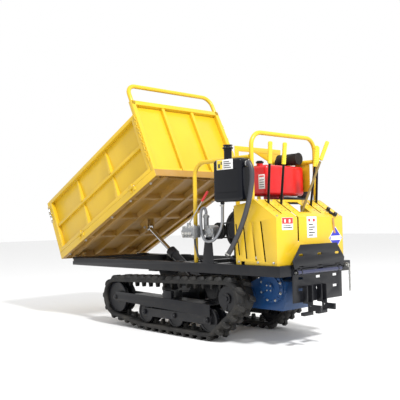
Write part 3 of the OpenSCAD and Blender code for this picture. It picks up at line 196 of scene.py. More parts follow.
def makeFinish(name):
    look = finishes[name]
    material = bpy.data.materials.new(name)
    material.use_nodes = True
    tree = material.node_tree
    shader = tree.nodes["Principled BSDF"]
    wear = put(tree, "ShaderNodeGroup", {"node_tree": edgeWearAndHighlight}, Radius=.0035, Amount=look["wear"], Scale=70.)
    dirt = put(tree, "ShaderNodeGroup", {"node_tree": grime}, Amount=look["grime"], Height=look["reach"], Scale=7.)
    fine = put(tree, "ShaderNodeGroup", {"node_tree": grain}, Scale=float(look["scale"]), Stretch=1.)
    base = look["base"]
    darker, lighter = (tuple(min(1, c * share) for c in base) + (1,) for share in (.90, 1.08))
    tone = mixed(tree, fine.outputs["Tone"], darker, lighter)
    # rubbed corners; on the track rubber partly painted highlight
    rubbedAndHighlit = mixed(tree, wear.outputs["Mask"], tone, look["under"] + (1,))
    dusty = mixed(tree, dirt.outputs["Mask"], rubbedAndHighlit, look["dust"] + (1,))
    tree.links.new(dusty, shader.inputs["Base Color"])
    polish = ranged(tree, fine.outputs["Height"], .3, .7, look["rough"] - .04, look["rough"] + .06)
    dull = put(tree, "ShaderNodeMath", {"operation": "MULTIPLY_ADD", "use_clamp": True},
               n0=dirt.outputs["Mask"], n1=.35, n2=polish)
    tree.links.new(dull.outputs[0], shader.inputs["Roughness"])
    shader.inputs["Metallic"].default_value = look.get("metal", 0.)
    shader.inputs["Coat Weight"].default_value = look["coat"]
    shader.inputs["Specular IOR Level"].default_value = look.get("spec", .5)
    shader.inputs["Coat Roughness"].default_value = .12
    soft = put(tree, "ShaderNodeBevel", {"samples": 4}, Radius=.0012)
    bump = put(tree, "ShaderNodeBump", Strength=look["bump"], Distance=.0012, Height=fine.outputs["Height"],
               Normal=soft.outputs[0])
    tree.links.new(bump.outputs[0], shader.inputs["Normal"])
    material.diffuse_color = base + (1,)
    return material


paint = {name: makeFinish(name) for name in finishes}
print("finishes made", len(paint))

bodyOf = {node: body for body, nodes in frame["record"]["behaviour"]["bodies"].items() for node in nodes}


# mesh helpers

def placed(name, data):  # a new object in the scene
    made = bpy.data.objects.new(name, data)
    bpy.context.scene.collection.objects.link(made)
    return made


def asPiece(name, mesh, finishName, body, stands):
    piece = placed(name, mesh)
    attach(piece, body)
    if stands:
        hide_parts(*stands)
    return piece


def meshFrom(name, bm, fixNormals=True, creaseAngle=32):
    if fixNormals:
        bmesh.ops.recalc_face_normals(bm, faces=bm.faces)
    mesh = bpy.data.meshes.new(name)
    bm.to_mesh(mesh)
    bm.free()
    mesh.shade_smooth()
    mesh.set_sharp_from_angle(angle=radians(creaseAngle))
    return mesh


def settle(bm, name, finishNames, body, stands=(), creaseAngle=32, fixNormals=True):
    mesh = meshFrom(name, bm, fixNormals, creaseAngle)
    for finishName in finishNames:
        mesh.materials.append(paint[finishName])
    return asPiece(name, mesh, finishNames[0], body, stands)


def copyOf(node):
    bm = bmesh.new()
    bm.from_mesh(frame["nodes"][node].data)
    bmesh.ops.remove_doubles(bm, verts=bm.verts, dist=1e-5)
    bmesh.ops.dissolve_degenerate(bm, dist=1e-6, edges=bm.edges)
    bmesh.ops.dissolve_limit(bm, angle_limit=radians(.6), verts=bm.verts, edges=bm.edges)
    return bm


def softened(node, width, finishNames, choose=None):  # the CAD shape with rounded corners
    bm = copyOf(node)
    before = bm.calc_volume()
    edges = [e for e in bm.edges if len(e.link_faces) == 2 and e.calc_length() > 2.6 * width
             and radians(34) < e.calc_face_angle(0) < radians(170)]
    bmesh.ops.bevel(bm, geom=edges, offset=width, offset_type="OFFSET", segments=2, profile=.5,
                    affect="EDGES", clamp_overlap=False)
    low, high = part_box(node)
    outside = any(v.co[i] < low[i] - 1e-4 or v.co[i] > high[i] + 1e-4 for v in bm.verts for i in range(3))
    if outside or abs(bm.calc_volume() - before) > .06 * abs(before):
        print("  kept sharp:", node, outside, round(bm.calc_volume() / before, 3))
        bm.free()
        bm = copyOf(node)
    if choose:
        for face in bm.faces:
            face.material_index = choose(face.calc_center_median(), face.normal)
    return settle(bm, node + "_finished", finishNames, bodyOf[node], [node], fixNormals=False)


def ring(bm, centre, axis, radius, sides):
    toAxis = Vector(axis).normalized().to_track_quat("Z", "Y").to_matrix()
    return [bm.verts.new(centre + toAxis @ Vector((radius * cos(2 * pi * k / sides),
                                                   radius * sin(2 * pi * k / sides), 0))) for k in range(sides)]


def skin(bm, rings, index=0, closed=False):  # faces between rings, capped unless the row of rings is closed
    sides = len(rings[0])
    pairs = list(zip(rings, rings[1:])) + ([(rings[-1], rings[0])] if closed else [])
    for a, b in pairs:
        for k in range(sides):
            bm.faces.new((a[k], a[(k + 1) % sides], b[(k + 1) % sides], b[k])).material_index = index
    if not closed:
        bm.faces.new(rings[0][::-1]).material_index = index
        bm.faces.new(rings[-1]).material_index = index


def turned(bm, start, axis, profile, sides=32, index=0):  # a lathe shape: (distance along the axis, radius) pairs in mm
    direction = Vector(axis).normalized()
    skin(bm, [ring(bm, start + direction * (d / 1000), axis, max(r, .2) / 1000, sides) for d, r in profile], index)


def collar(width, bore, radius, cut=1., chamfer=1.):  # a bored hub's profile with its outer corners broken
    return [(0, bore), (0, radius - chamfer), (cut, radius), (width - cut, radius), (width, radius - chamfer),
            (width, bore)]


def box(bm, low, high, bevel=0., index=0, matrix=None, steps=2):
    made = bmesh.ops.create_cube(bm, size=1)["verts"]
    low, high = Vector(low), Vector(high)
    for v in made:
        v.co = Vector(((low[i] + high[i]) / 2 + v.co[i] * (high[i] - low[i]) for i in range(3)))
    faces = {f for v in made for f in v.link_faces}
    if bevel:
        edges = {e for v in made for e in v.link_edges}
        done = bmesh.ops.bevel(bm, geom=list(edges), offset=bevel, segments=steps, profile=.5, affect="EDGES",
                               clamp_overlap=True)
        faces = set(done["faces"]) | {f for f in faces if f.is_valid}
    for f in faces:
        f.material_index = index
    if matrix is not None:
        for v in {v for f in faces for v in f.verts}:
            v.co = matrix @ v.co


def block(bm, low, high, rounding=0., index=0, matrix=None, steps=2):  # a box given in millimetres
    box(bm, Vector(low) / 1000, Vector(high) / 1000, rounding / 1000, index, matrix, steps)


def smoothPath(points, steps):  # a curve through all the points, each leg cut into steps
    out = []
    for i in range(len(points) - 1):
        a, b = points[max(i - 1, 0)], points[i]
        c, d = points[i + 1], points[min(i + 2, len(points) - 1)]
        for k in range(steps):
            t = k / steps
            out.append(.5 * (2 * b + (c - a) * t + (2 * a - 5 * b + 4 * c - d) * t * t
                             + (3 * b - a - 3 * c + d) * t ** 3))
    return out + [points[-1]]


def sweep(bm, path, radius, sides=16, index=0):  # a round tube; radius is a number or a function of the share along it
    tangent = (path[1] - path[0]).normalized()
    across = tangent.orthogonal().normalized()
    rings = []
    for i, p in enumerate(path):
        heading = (path[min(i + 1, len(path) - 1)] - path[max(i - 1, 0)]).normalized()
        across = (tangent.rotation_difference(heading) @ across).normalized()
        tangent = heading
        other = heading.cross(across)
        r = radius(i / (len(path) - 1)) if callable(radius) else radius
        rings.append([bm.verts.new(p + r * (cos(2 * pi * k / sides) * across + sin(2 * pi * k / sides) * other))
                      for k in range(sides)])
    skin(bm, rings, index)


# repeated things: a spot is (place, facing, along, size)

def boltGrid(xs, ys, zs, facing, along, size):
    return [(at(x, y, z), facing, along, size) for x in xs for y in ys for z in zs]


def repeatTree():  # copies of one shape on points, each turned to face its own way
    tree, given, result = newGroup("repeatOnPoints", "GeometryNodeTree",
                                   [("Geometry", "NodeSocketGeometry", None), ("Shape", "NodeSocketObject", None),
                                    ("Finish", "NodeSocketMaterial", None), ("Size", number, 1.)],
                                   [("Geometry", "NodeSocketGeometry")])
    source = put(tree, "GeometryNodeObjectInfo", {"transform_space": "ORIGINAL"}, Object=given.outputs["Shape"])
    facing = put(tree, "GeometryNodeInputNamedAttribute", {"data_type": "FLOAT_VECTOR"}, Name="facing")
    along = put(tree, "GeometryNodeInputNamedAttribute", {"data_type": "FLOAT_VECTOR"}, Name="along")
    grow = put(tree, "GeometryNodeInputNamedAttribute", {"data_type": "FLOAT"}, Name="grow")
    turn = put(tree, "FunctionNodeAlignRotationToVector", {"axis": "Z"}, Vector=facing.outputs[0])
    roll = put(tree, "FunctionNodeAlignRotationToVector", {"axis": "X", "pivot_axis": "Z"}, Rotation=turn.outputs[0],
               Vector=along.outputs[0])
    size = put(tree, "ShaderNodeMath", {"operation": "MULTIPLY"}, n0=grow.outputs[0], n1=given.outputs["Size"])
    spread = put(tree, "GeometryNodeInstanceOnPoints", Points=given.outputs["Geometry"],
                 Instance=source.outputs["Geometry"], Rotation=roll.outputs[0], Scale=size.outputs[0])
    real = put(tree, "GeometryNodeRealizeInstances", Geometry=spread.outputs[0])
    coloured = put(tree, "GeometryNodeSetMaterial", Geometry=real.outputs[0], Material=given.outputs["Finish"])
    tree.links.new(coloured.outputs[0], result.inputs["Geometry"])
    return tree


repeatOnPoints = repeatTree()


def bolt():  # hexagon head on a washer, one unit across the flats
    bm = bmesh.new()
    skin(bm, [ring(bm, alongZ * z, alongZ, r, 18) for z, r in ((0, .74), (.10, .74), (.12, .72))])
    skin(bm, [ring(bm, alongZ * z, alongZ, r, 6) for z, r in ((.12, .575), (.62, .575), (.72, .49))])
    skin(bm, [ring(bm, alongZ * z, alongZ, r, 10) for z, r in ((.72, .27), (.86, .27), (.90, .22))])
    return bm


def looseShape(name, bm):  # a shape for copying; it is removed before the end
    return placed(name, meshFrom(name, bm))


shapes = {"bolt": looseShape("boltShape", bolt())}


def repeated(name, shape, spots, finishName, body, stands=(), size=1.):
    mesh = bpy.data.meshes.new(name)
    mesh.from_pydata([s[0] for s in spots], [], [])
    for label, column in (("facing", 1), ("along", 2)):
        layer = mesh.attributes.new(label, "FLOAT_VECTOR", "POINT")
        layer.data.foreach_set("vector", [c for s in spots for c in s[column]])
    mesh.attributes.new("grow", "FLOAT", "POINT").data.foreach_set("value", [s[3] for s in spots])
    carrier = placed(name + "_spots", mesh)
    modifier = carrier.modifiers.new("repeat", "NODES")
    modifier.node_group = repeatOnPoints
    wanted = {"Shape": shapes[shape], "Finish": paint[finishName], "Size": size}
    for item in repeatOnPoints.interface.items_tree:
        if item.in_out == "INPUT" and item.name in wanted:
            modifier[item.identifier] = wanted[item.name]
    graph = bpy.context.evaluated_depsgraph_get()
    plain = bpy.data.meshes.new_from_object(carrier.evaluated_get(graph))
    bpy.data.objects.remove(carrier)
    return asPiece(name, plain, finishName, body, stands)


def bolted(name, spots, body):
    repeated(name, "bolt", spots, "zincSteel", body)


# tracks

track = dict(lugs=38, carcass=27, halfWidth=90, strip=18,
             wheels=[(561, 323, 100), (-791, 242, 133), (-393, 150, 93), (353, 150, 93)])


def trackPath(count):  # even points on the inside of the track, each with its outward direction, in the XZ plane
    wheels, legs = track["wheels"], []
    angles = []
    for i, a in enumerate(wheels):
        b = wheels[(i + 1) % 4]
        span = hypot(b[0] - a[0], b[1] - a[1])
        angles.append(atan2(b[1] - a[1], b[0] - a[0]) - acos((a[2] - b[2]) / span))
        legs.append(sqrt(span ** 2 - (a[2] - b[2]) ** 2))
    arcs = [((angles[i] - angles[i - 1]) % (2 * pi)) * wheels[i][2] for i in range(4)]
    total = sum(arcs) + sum(legs)

    def point(s):
        s %= total
        for i in range(4):
            x, z, r = wheels[i]
            if s < arcs[i]:
                a = angles[i - 1] + s / r
                return Vector((x + r * cos(a), z + r * sin(a))), Vector((cos(a), sin(a)))
            s -= arcs[i]
            if s < legs[i]:
                a = angles[i]
                return Vector((x + r * cos(a) - s * sin(a), z + r * sin(a) + s * cos(a))), Vector((cos(a), sin(a)))
            s -= legs[i]
    return [point(total * k / count) for k in range(count)]


def lug():  # one outer lug, along X on the track, standing up in Z, with its outer end towards +Y
    bm = bmesh.new()
    rows = []
    for y, root, tip, top in ((.0185, .024, .0155, .026), (.026, .026, .017, .0296), (.066, .026, .017, .0296),
                              (.080, .023, .013, .024), (.0895, .016, .008, .010)):
        lean = .35 * (y - .05)
        rows.append([bm.verts.new((x + lean, y, z)) for x, z in
                     ((-root, -.002), (-root * .97, .004), (-tip - .0015, top - .003), (-tip + .003, top),
                      (tip - .003, top), (tip + .0015, top - .003), (root * .97, .004), (root, -.002))])
    skin(bm, rows)
    return bm


def tooth():  # one inner guide tooth, pointing down
    bm = bmesh.new()
    rows = []
    for y, shrink in ((-.0175, .6), (-.014, 1.), (.014, 1.), (.0175, .6)):
        rows.append([bm.verts.new((x * (shrink + 1) / 2, y, z)) for x, z in
                     ((-.0160, .001), (-.0135, -.008), (-.0078, -.038 * (shrink + 2) / 3),
                      (-.0045, -.0415 * (shrink + 2) / 3), (.0045, -.0415 * (shrink + 2) / 3),
                      (.0078, -.038 * (shrink + 2) / 3), (.0135, -.008), (.0160, .001))])
    skin(bm, rows)
    return bm


shapes["lug"], shapes["tooth"] = looseShape("lugShape", lug()), looseShape("toothShape", tooth())


def trackBelt(side, node):
    places = trackPath(6 * track["lugs"])
    half, thick = track["halfWidth"], track["carcass"]
    section = [(-half, 3), (-half, thick - 4), (-half + 3, thick - 1), (-half + 20, thick), (-track["strip"], thick),
               (-track["strip"] + 4, thick - 3), (track["strip"] - 4, thick - 3), (track["strip"], thick),
               (half - 20, thick), (half - 3, thick - 1), (half, thick - 4), (half, 3), (half - 3, 0), (52, 0),
               (48, 2.5), (26, 2.5), (22, 0), (-22, 0), (-26, 2.5), (-48, 2.5), (-52, 0), (-half + 3, 0)]
    bm = bmesh.new()
    rings = [[bm.verts.new(at(p[0] + n[0] * e, side * trackY + y, p[1] + n[1] * e)) for y, e in section]
             for p, n in places]
    skin(bm, rings, closed=True)
    settle(bm, node + "_carcass", ["trackRubber"], "chassis", [node], creaseAngle=50)
    spots, guides = [], []
    for k, (p, n) in enumerate(trackPath(2 * track["lugs"])):
        y = 1 if k % 2 == 0 else -1
        outward, along = Vector((n[0], 0, n[1])), Vector((n[1], 0, -n[0])) * y
        spots.append((at(p[0] + n[0] * thick, side * trackY, p[1] + n[1] * thick), outward, along, 1.))
        if k % 2 == 0:
            guides.append((at(p[0], side * trackY, p[1]), outward, along, 1.))
    lugs = repeated(node + "_lugs", "lug", spots, "trackRubber", "chassis")
    for v in lugs.data.vertices:  # the lowest lugs are flattened by the ground
        v.co.z = max(v.co.z, 0)
    repeated(node + "_teeth", "tooth", guides, "trackRubber", "chassis")


for side, node in ((1, "track_belt_r"), (-1, "track_belt_l")):
    trackBelt(side, node)
print("tracks made")

# CAD shapes that only need rounded corners and their own finish

rounding = {
    "blackPaint": dict(chassis_frame=1.5, undercarriage_frame=1.5, track_beam_l=1.2, track_beam_r=1.2, sprocket_l=1.2,
                       sprocket_r=1.2, idler_l=1.5, idler_r=1.5, roller_l1=1.2, roller_l2=1.2, roller_l3=1.2,
                       roller_r1=1.2, roller_r2=1.2, roller_r3=1.2, rear_plate=1.0, roller_axles=.8),
    "yellowPaint": dict(guard_left=.5, guard_rear=.5, engine_shield=.8, headboard_guard=.5),
    "zincSteel": dict(pivot_pins=.8, hinge_pins=.5, lock_pin_chain=.5),
    "chromedRod": dict(cylinder_rod=.6),
}
for finishName, nodes in rounding.items():
    for node, width in nodes.items():
        softened(node, width / 1000, [finishName])
print("frame parts rounded")

# the tipping bed

bedShape = dict(length=1600, half=500, floor=60, boardLow=62, boardHigh=593, headHigh=718, thick=38, edge=34, sheet=3,
                rail=.48, tip=25.7, hingeX=-1486, hingeZ=540.5, hingeIn=40, hingeDrop=35)
bedTurn = Matrix.Rotation(-radians(bedShape["tip"]), 4, "Y")
bedPlace = (Matrix.Translation(at(bedShape["hingeX"], 0, bedShape["hingeZ"])) @ bedTurn
            @ Matrix.Translation(Vector((-bedShape["hingeIn"], 0, bedShape["hingeDrop"])) / 1000))


def onBed(u, y, w):  # length from the dump end, across, and height above the frame's underside
    return bedPlace @ (Vector((u, y, w)) / 1000)


def foldedBoard(node, length, place, ribs, knuckles):
    # a pressed board: thin panel, folded frame, one level rail and wedge ribs that deepen downwards;
    # place(p) turns a point (along, out, up) in millimetres into its place in the frame
    shape, bm = bedShape, bmesh.new()
    tall, edge, deep = shape["boardHigh"] - shape["boardLow"], shape["edge"], shape["thick"]

    def slab(a0, a1, o0, o1, h0, h1, rounding=1.6):
        block(bm, (a0, o0, h0), (a1, o1, h1), rounding)

    slab(2, length - 2, 0, shape["sheet"], 2, tall - 2, .6)
    slab(0, length, .2, deep, 0, edge)
    slab(0, length, .2, deep, tall - edge, tall)
    slab(0, edge, .2, deep, edge - 2, tall - edge + 2)
    slab(length - edge, length, .2, deep, edge - 2, tall - edge + 2)
    level = shape["rail"] * tall
    slab(edge - 2, length - edge + 2, .5, deep - 8, level - 13, level + 13)
    for k in range(1, ribs + 1):
        a = k * length / (ribs + 1)
        for low, high in ((edge - 1, level - 12), (level + 12, tall - edge + 1)):
            corners = [(a - 21, low), (a + 21, low), (a + 7, high), (a - 7, high)]
            back = [bm.verts.new(Vector((x, 2, h)) / 1000) for x, h in corners]
            front = [bm.verts.new(Vector((x * .8 + a * .2, deep - 3 if h == low else 14, h)) / 1000)
                     for x, h in corners]
            skin(bm, [back, front])
    for a0, a1 in knuckles:
        turned(bm, Vector((a0, deep + 9.5, -1)) / 1000, alongX, collar(a1 - a0, 7, 9, .5, .4), 20)
        slab(a0, a1, deep - 1, deep + 8.5, 2, 34)
    for v in bm.verts:
        v.co = place(v.co * 1000)
    settle(bm, node + "_pressed", ["yellowPaint"], bodyOf[node], [node], creaseAngle=30)


def makeBoards():
    length = bedShape["length"] - 2 * bedShape["thick"] - 4
    start, inner = bedShape["thick"] + 2, bedShape["half"] - bedShape["thick"]
    hinges = [.26 * bedShape["length"], .8 * bedShape["length"]]
    knuckles = [(u - 13 - start, u + 14 - start) for u in hinges]  # one knuckle's two ends, for each hinge
    for node, side in (("side_board_r", 1), ("side_board_l", -1)):
        def place(p):
            return onBed(start + p.x, side * (inner + p.y), bedShape["boardLow"] + p.z)

        foldedBoard(node, length, place, 2, knuckles)
    wide = 2 * bedShape["half"] - 2
    gate = [(y - 13 + wide / 2, y + 14 + wide / 2) for y in (-300, 300)]
    foldedBoard("tailgate", wide,
                lambda p: onBed(bedShape["thick"] - p.y, p.x - wide / 2, bedShape["boardLow"] + p.z), 2, gate)


def makeHeadboard():
    shape, bm = bedShape, bmesh.new()
    u1, half, low, high = shape["length"], shape["half"], shape["floor"], shape["headHigh"]
    u0 = u1 - shape["thick"]

    def slab(low, high, rounding=1.8):
        block(bm, low, high, rounding)

    slab((u0, 1 - half, low), (u0 + 3, half - 1, high - 2), .6)
    for side in (-1, 1):
        lowY, highY = sorted((side * (half - 40), side * half))
        slab((u0 + .2, lowY, low), (u1, highY, high))
    slab((u0 + .3, 2 - half, high - 40), (u1, half - 2, high))
    slab((u0 + .3, 2 - half, low), (u1 - 20, half - 2, low + 30))
    for y in (-half / 3, half / 3):
        slab((u0 + .5, y - 15, low + 2), (u1 - 6, y + 15, high - 38))
    for v in bm.verts:
        v.co = onBed(*(v.co * 1000))
    settle(bm, "headboard_pressed", ["yellowPaint"], "bed", ["headboard"])


def linkShape():  # one link of round wire, its length along X and one unit long inside
    bm, rings = bmesh.new(), []
    half, r, wire = .36, .23, .105
    outline = [(half + r * cos(a), r * sin(a)) for a in [radians(t) for t in range(-90, 91, 30)]]
    outline += [(-half + r * cos(a), r * sin(a)) for a in [radians(t) for t in range(90, 271, 30)]]
    for i, (x, y) in enumerate(outline):
        (ax, ay), (bx, by) = outline[i - 1], outline[(i + 1) % len(outline)]
        away = Vector((by - ay, ax - bx, 0)).normalized()
        rings.append([bm.verts.new(Vector((x, y, 0)) + wire * (cos(t) * away + Vector((0, 0, sin(t)))))
                      for t in [k * pi / 3 for k in range(6)]])
    skin(bm, rings, closed=True)
    return bm


shapes["link"] = looseShape("linkShape", linkShape())


# links along smooth points, each a quarter turn from the last
def chainAlong(name, points, pitch, finishName, body, stands=()):
    path = smoothPath(points, 12)
    spots, travelled, nextAt, count = [], 0., pitch * .5, 0
    for a, b in zip(path, path[1:]):
        step = (b - a).length
        while travelled + step >= nextAt:
            t = (nextAt - travelled) / step
            along = (b - a).normalized()
            side = along.orthogonal().normalized()
            facing = side if count % 2 else along.cross(side)
            spots.append((a.lerp(b, t), facing, along, 1.))
            nextAt, count = nextAt + pitch, count + 1
        travelled += step
    return repeated(name, "link", spots, finishName, body, stands, size=pitch / .74)


chainGap = 6.5  # from the board's face to the middle of its chain
hookBend = ((0, 0), (6, 1), (12, 2), (15, 7), (13, 11))  # out from the board and up


def makeBedChains():
    shape = bedShape
    for label, side in (("r", 1), ("l", -1)):
        y = side * (shape["half"] + chainGap)
        hang = [onBed(shape["length"] - 19 + 4 * sin(k * 1.7), y + side * 1.5 * sin(k * 2.3),
                      shape["boardHigh"] - 12 - 36 * k) for k in range(13)]
        chainAlong("bed_chain_" + label, hang, .024, "yellowPaint", "bed", ["bed_chains"])
        for name, u, out, drop, body in (("bed_chain_hook_", shape["length"] - 19, 0, 20, "bed"),
                                         ("gate_chain_hook_", 19, -1, 60, "tailgate")):
            hook = [onBed(u, side * (shape["half"] + out + d), shape["boardHigh"] - drop + h) for d, h in hookBend]
            bm = bmesh.new()
            sweep(bm, smoothPath(hook, 5), .0032, 10)
            settle(bm, name + label, ["yellowPaint"], body)
        short = [onBed(19 + 3 * sin(k * 2.1), side * (shape["half"] + chainGap + 1 + 1.5 * sin(k)),
                       shape["boardHigh"] - 58 - 30 * k) for k in range(6)]
        chainAlong("gate_chain_" + label, short, .022, "zincSteel", "tailgate")


def makeBedFrame():
    level = bedTurn.inverted().to_3x3()
    # faces inside the bed's width that do not face up get the darker yellow: painted shade under the bed
    softened("bed_frame", .0012, ["yellowPaint", "undersidePaintedShade"],
             lambda c, n: 1 if (level @ n).z < .5 and abs(c.y) < .455 else 0)
    down, along = bedTurn.to_3x3() @ -alongZ, bedTurn.to_3x3() @ alongX
    spots = [(onBed(u, y, 0), down, along, .016) for y in (-470, 470) for u in (120, 420, 880, 1180, 1480)]
    bolted("bed_bolts", spots, "bed")


makeBoards()
makeHeadboard()
makeBedChains()
makeBedFrame()
print("bed made")

# console

hood = dict(crest=818, back=1018, top=1025, low=895, base=570, half=380, pitch=33.02)
leverY = dict(steer_lever_l=-270, clutch_lever=-147, brake_lever=177, steer_lever_r=289)
slopeTurn = Matrix.Rotation(radians(hood["pitch"]), 4, "Y")
slopeUp = slopeTurn.to_3x3() @ alongZ


def onSlope(x, y, lift=0.):  # a place on the hood's sloped top
    z = hood["top"] - (x - hood["crest"]) * tan(radians(hood["pitch"]))
    return at(x, y, z) + slopeUp * (lift / 1000)


def slopePlace(x, y, lift=0.):
    return Matrix.Translation(onSlope(x, y, lift)) @ slopeTurn


def capsule(a, b, width):  # a slot's outline between two points, with round ends
    a, b = Vector(a), Vector(b)
    turn = atan2(b.y - a.y, b.x - a.x)
    return [(c.x + width / 2 * cos(t), c.y + width / 2 * sin(t))
            for c, first in ((b, turn - pi / 2), (a, turn + pi / 2)) for t in [first + k * pi / 8 for k in range(9)]]


# a cut sheet; place(across, up, out) in mm gives its place
def sheetPanel(bm, outline, holes, thick, place, index=0, edge=.35):
    curve = bpy.data.curves.new("panel", "CURVE")
    curve.dimensions, curve.fill_mode = "2D", "BOTH"
    curve.extrude, curve.bevel_depth, curve.bevel_resolution = thick / 2 - edge, edge, 1
    for loop in [outline] + holes:
        spline = curve.splines.new("POLY")
        spline.points.add(len(loop) - 1)
        spline.use_cyclic_u = True
        for point, (a, b) in zip(spline.points, loop):
            point.co = (a, b, 0, 1)
    shape = placed("panel", curve)
    mesh = bpy.data.meshes.new_from_object(shape.evaluated_get(bpy.context.evaluated_depsgraph_get()))
    part = bmesh.new()
    part.from_mesh(mesh)
    bmesh.ops.remove_doubles(part, verts=part.verts, dist=.01)
    for v in part.verts:
        v.co = place(*v.co)
    for f in part.faces:
        f.material_index = index
    bmesh.ops.recalc_face_normals(part, faces=part.faces)
    part.to_mesh(mesh)
    part.free()
    bm.from_mesh(mesh)
    bpy.data.objects.remove(shape)


def hoodSheets():
    bm = bmesh.new()
    half, thick, slotRadius = hood["half"], 2.5, 8
    crest, back, top, low, base = (hood[key] for key in ("crest", "back", "top", "low", "base"))
    for side in (-1, 1):
        outline = [(641, base), (688, base), (688, base + 24), (724, base + 24), (724, base), (back, base), (back, low),
                   (crest, top), (804, 1012), (628, 986)]
        slots = [((646, 850), (672, 640)), ((716, 858), (742, 616)), ((798, 862), (830, 606)), ((880, 866), (914, 600))]
        sheetPanel(bm, outline, [capsule(a, b, 14) for a, b in slots], thick,
                   lambda x, z, out: at(x, side * (half - thick / 2 + out), z))
    # the clutch lever's slot runs over the edge, down the back panel and up the slope; the others stay on the slope
    lever, r = leverY["clutch_lever"], slotRadius
    foot = [(lever + r * cos(t), 733 + r * sin(t)) for t in [-k * pi / 8 for k in range(9)]]
    outline = [(-half, base), (half, base), (half, low), (lever + r, low)] + foot + [(lever - r, low), (-half, low)]
    sheetPanel(bm, outline, [], thick, lambda y, z, out: at(back - thick / 2 + out, y, z))
    run = hypot(back - crest, top - low)
    head = [(14 + r * cos(t), lever + r * sin(t)) for t in [pi / 2 + k * pi / 8 for k in range(9)]]
    outline = [(0, -half), (run, -half), (run, lever - r)] + head[::-1] + [(run, lever + r), (run, half), (0, half)]
    holes = [capsule((14, y), (182, y), 2 * r) for y in leverY.values() if y != lever]
    holes.append([(33, -62), (177, -62), (177, 62), (33, 62)])
    turn = slopeTurn.to_3x3()
    sheetPanel(bm, outline, holes, thick,
               lambda s, y, out: at(crest, y, top) + turn @ (Vector((s, 0, out - thick / 2)) / 1000))
    box(bm, (-.0235, -.377, -.0025), (0, .377, 0), .0004, 0,
        Matrix.Translation(at(crest, 0, top)) @ Matrix.Rotation(radians(-55), 4, "Y"))
    settle(bm, "console_hood_sheets", ["yellowPaint"], "chassis", ["console_hood"], fixNormals=False)


def footboardSheets():
    hinge, half, lugs = (1083, 520), 280, 235.2
    bm = bmesh.new()
    outline = [(-half, 544), (half, 544), (half + 16, 600), (.74 * half, 707), (-.74 * half, 707), (-half - 16, 600)]
    holes = []
    for y in (-.74 * half, 0, .74 * half):
        holes += [capsule((y - 17, 637), (y + 17, 637), 18), capsule((y - 24.5, 559.5), (y + 24.5, 559.5), 7)]
    sheetPanel(bm, outline, holes, 6, lambda y, z, out: at(hinge[0] - 1 + out, y, z), 0, .8)
    middle = lugs - 29
    for y0, y1 in ((-lugs - 18, -lugs + 19), (-middle, middle), (lugs - 19, lugs + 18)):
        turned(bm, at(hinge[0], y0, hinge[1]), alongY, collar(y1 - y0, 8.1, 14), 32, 1)
    for y0, y1 in ((-lugs - 18, -lugs + 18), (lugs - 18, lugs + 18), (36, lugs - 32), (32 - lugs, -36)):
        block(bm, (hinge[0] - 4, y0, hinge[1]), (hinge[0] + 2, y1, hinge[1] + 30), .8, 1, toFrame)
    settle(bm, "footboard_made", ["blackPaint", "navyPaint"], "footboard", ["footboard"])


def hoodFinish():
    hoodSheets()
    # hem round the open gear gate
    bm = bmesh.new()
    for x0, y0, x1, y1 in ((842, -66, 970, -61), (842, 61, 970, 66), (842, -66, 847, 66), (965, -66, 970, 66)):
        along = (x1 - x0) / cos(radians(hood["pitch"]))
        block(bm, (0, 0, 0), (along, y1 - y0, 3.5), .8, 0, slopePlace(x0, y0))
    settle(bm, "gate_hem", ["yellowPaint"], "chassis")
    corners = ((832, -355), (832, 355), (1004, -355), (1004, 355), (832, -208), (832, 232))
    spots = [(onSlope(x, y), slopeUp, alongY, .010) for x, y in corners]
    for side in (-1, 1):
        spots += boltGrid((670, 850, 990), (side * 380.2,), (590,), side * alongY, alongX, .012)
    bolted("hood_bolts", spots, "chassis")
    # printed marks beside the slots, long and short in turn
    bm = bmesh.new()
    for y in (-312, -228, -190, -104, 140, 215, 255, 330):
        for k in range(4):
            block(bm, (0, -4.5, 0), (2.2 + 6 * (k % 2), 4.5, .5), matrix=slopePlace(850 + 30 * k, y, .1))
    settle(bm, "slot_marks", ["printBlack"], "chassis")


def label(name, centre, across, out, size, bars):
    # a sticker with plain bars; each bar is (left, bottom, right, top, finish) in shares of its size
    bm, names = bmesh.new(), ["printWhite"]
    place = Matrix.Translation(centre) @ Matrix((across, alongZ, out)).transposed().to_4x4()
    w, h = size[0] / 2000, size[1] / 2000
    lift = .0009
    box(bm, (-w, -h, 0), (w, h, .0007), .0003, 0, place)
    for x0, y0, x1, y1, finishName in bars:
        if finishName not in names:
            names.append(finishName)
        lift += .00015
        box(bm, (w * (2 * x0 - 1), h * (2 * y0 - 1), 0), (w * (2 * x1 - 1), h * (2 * y1 - 1), lift), 0.,
            names.index(finishName), place)
    settle(bm, name, names, "chassis")


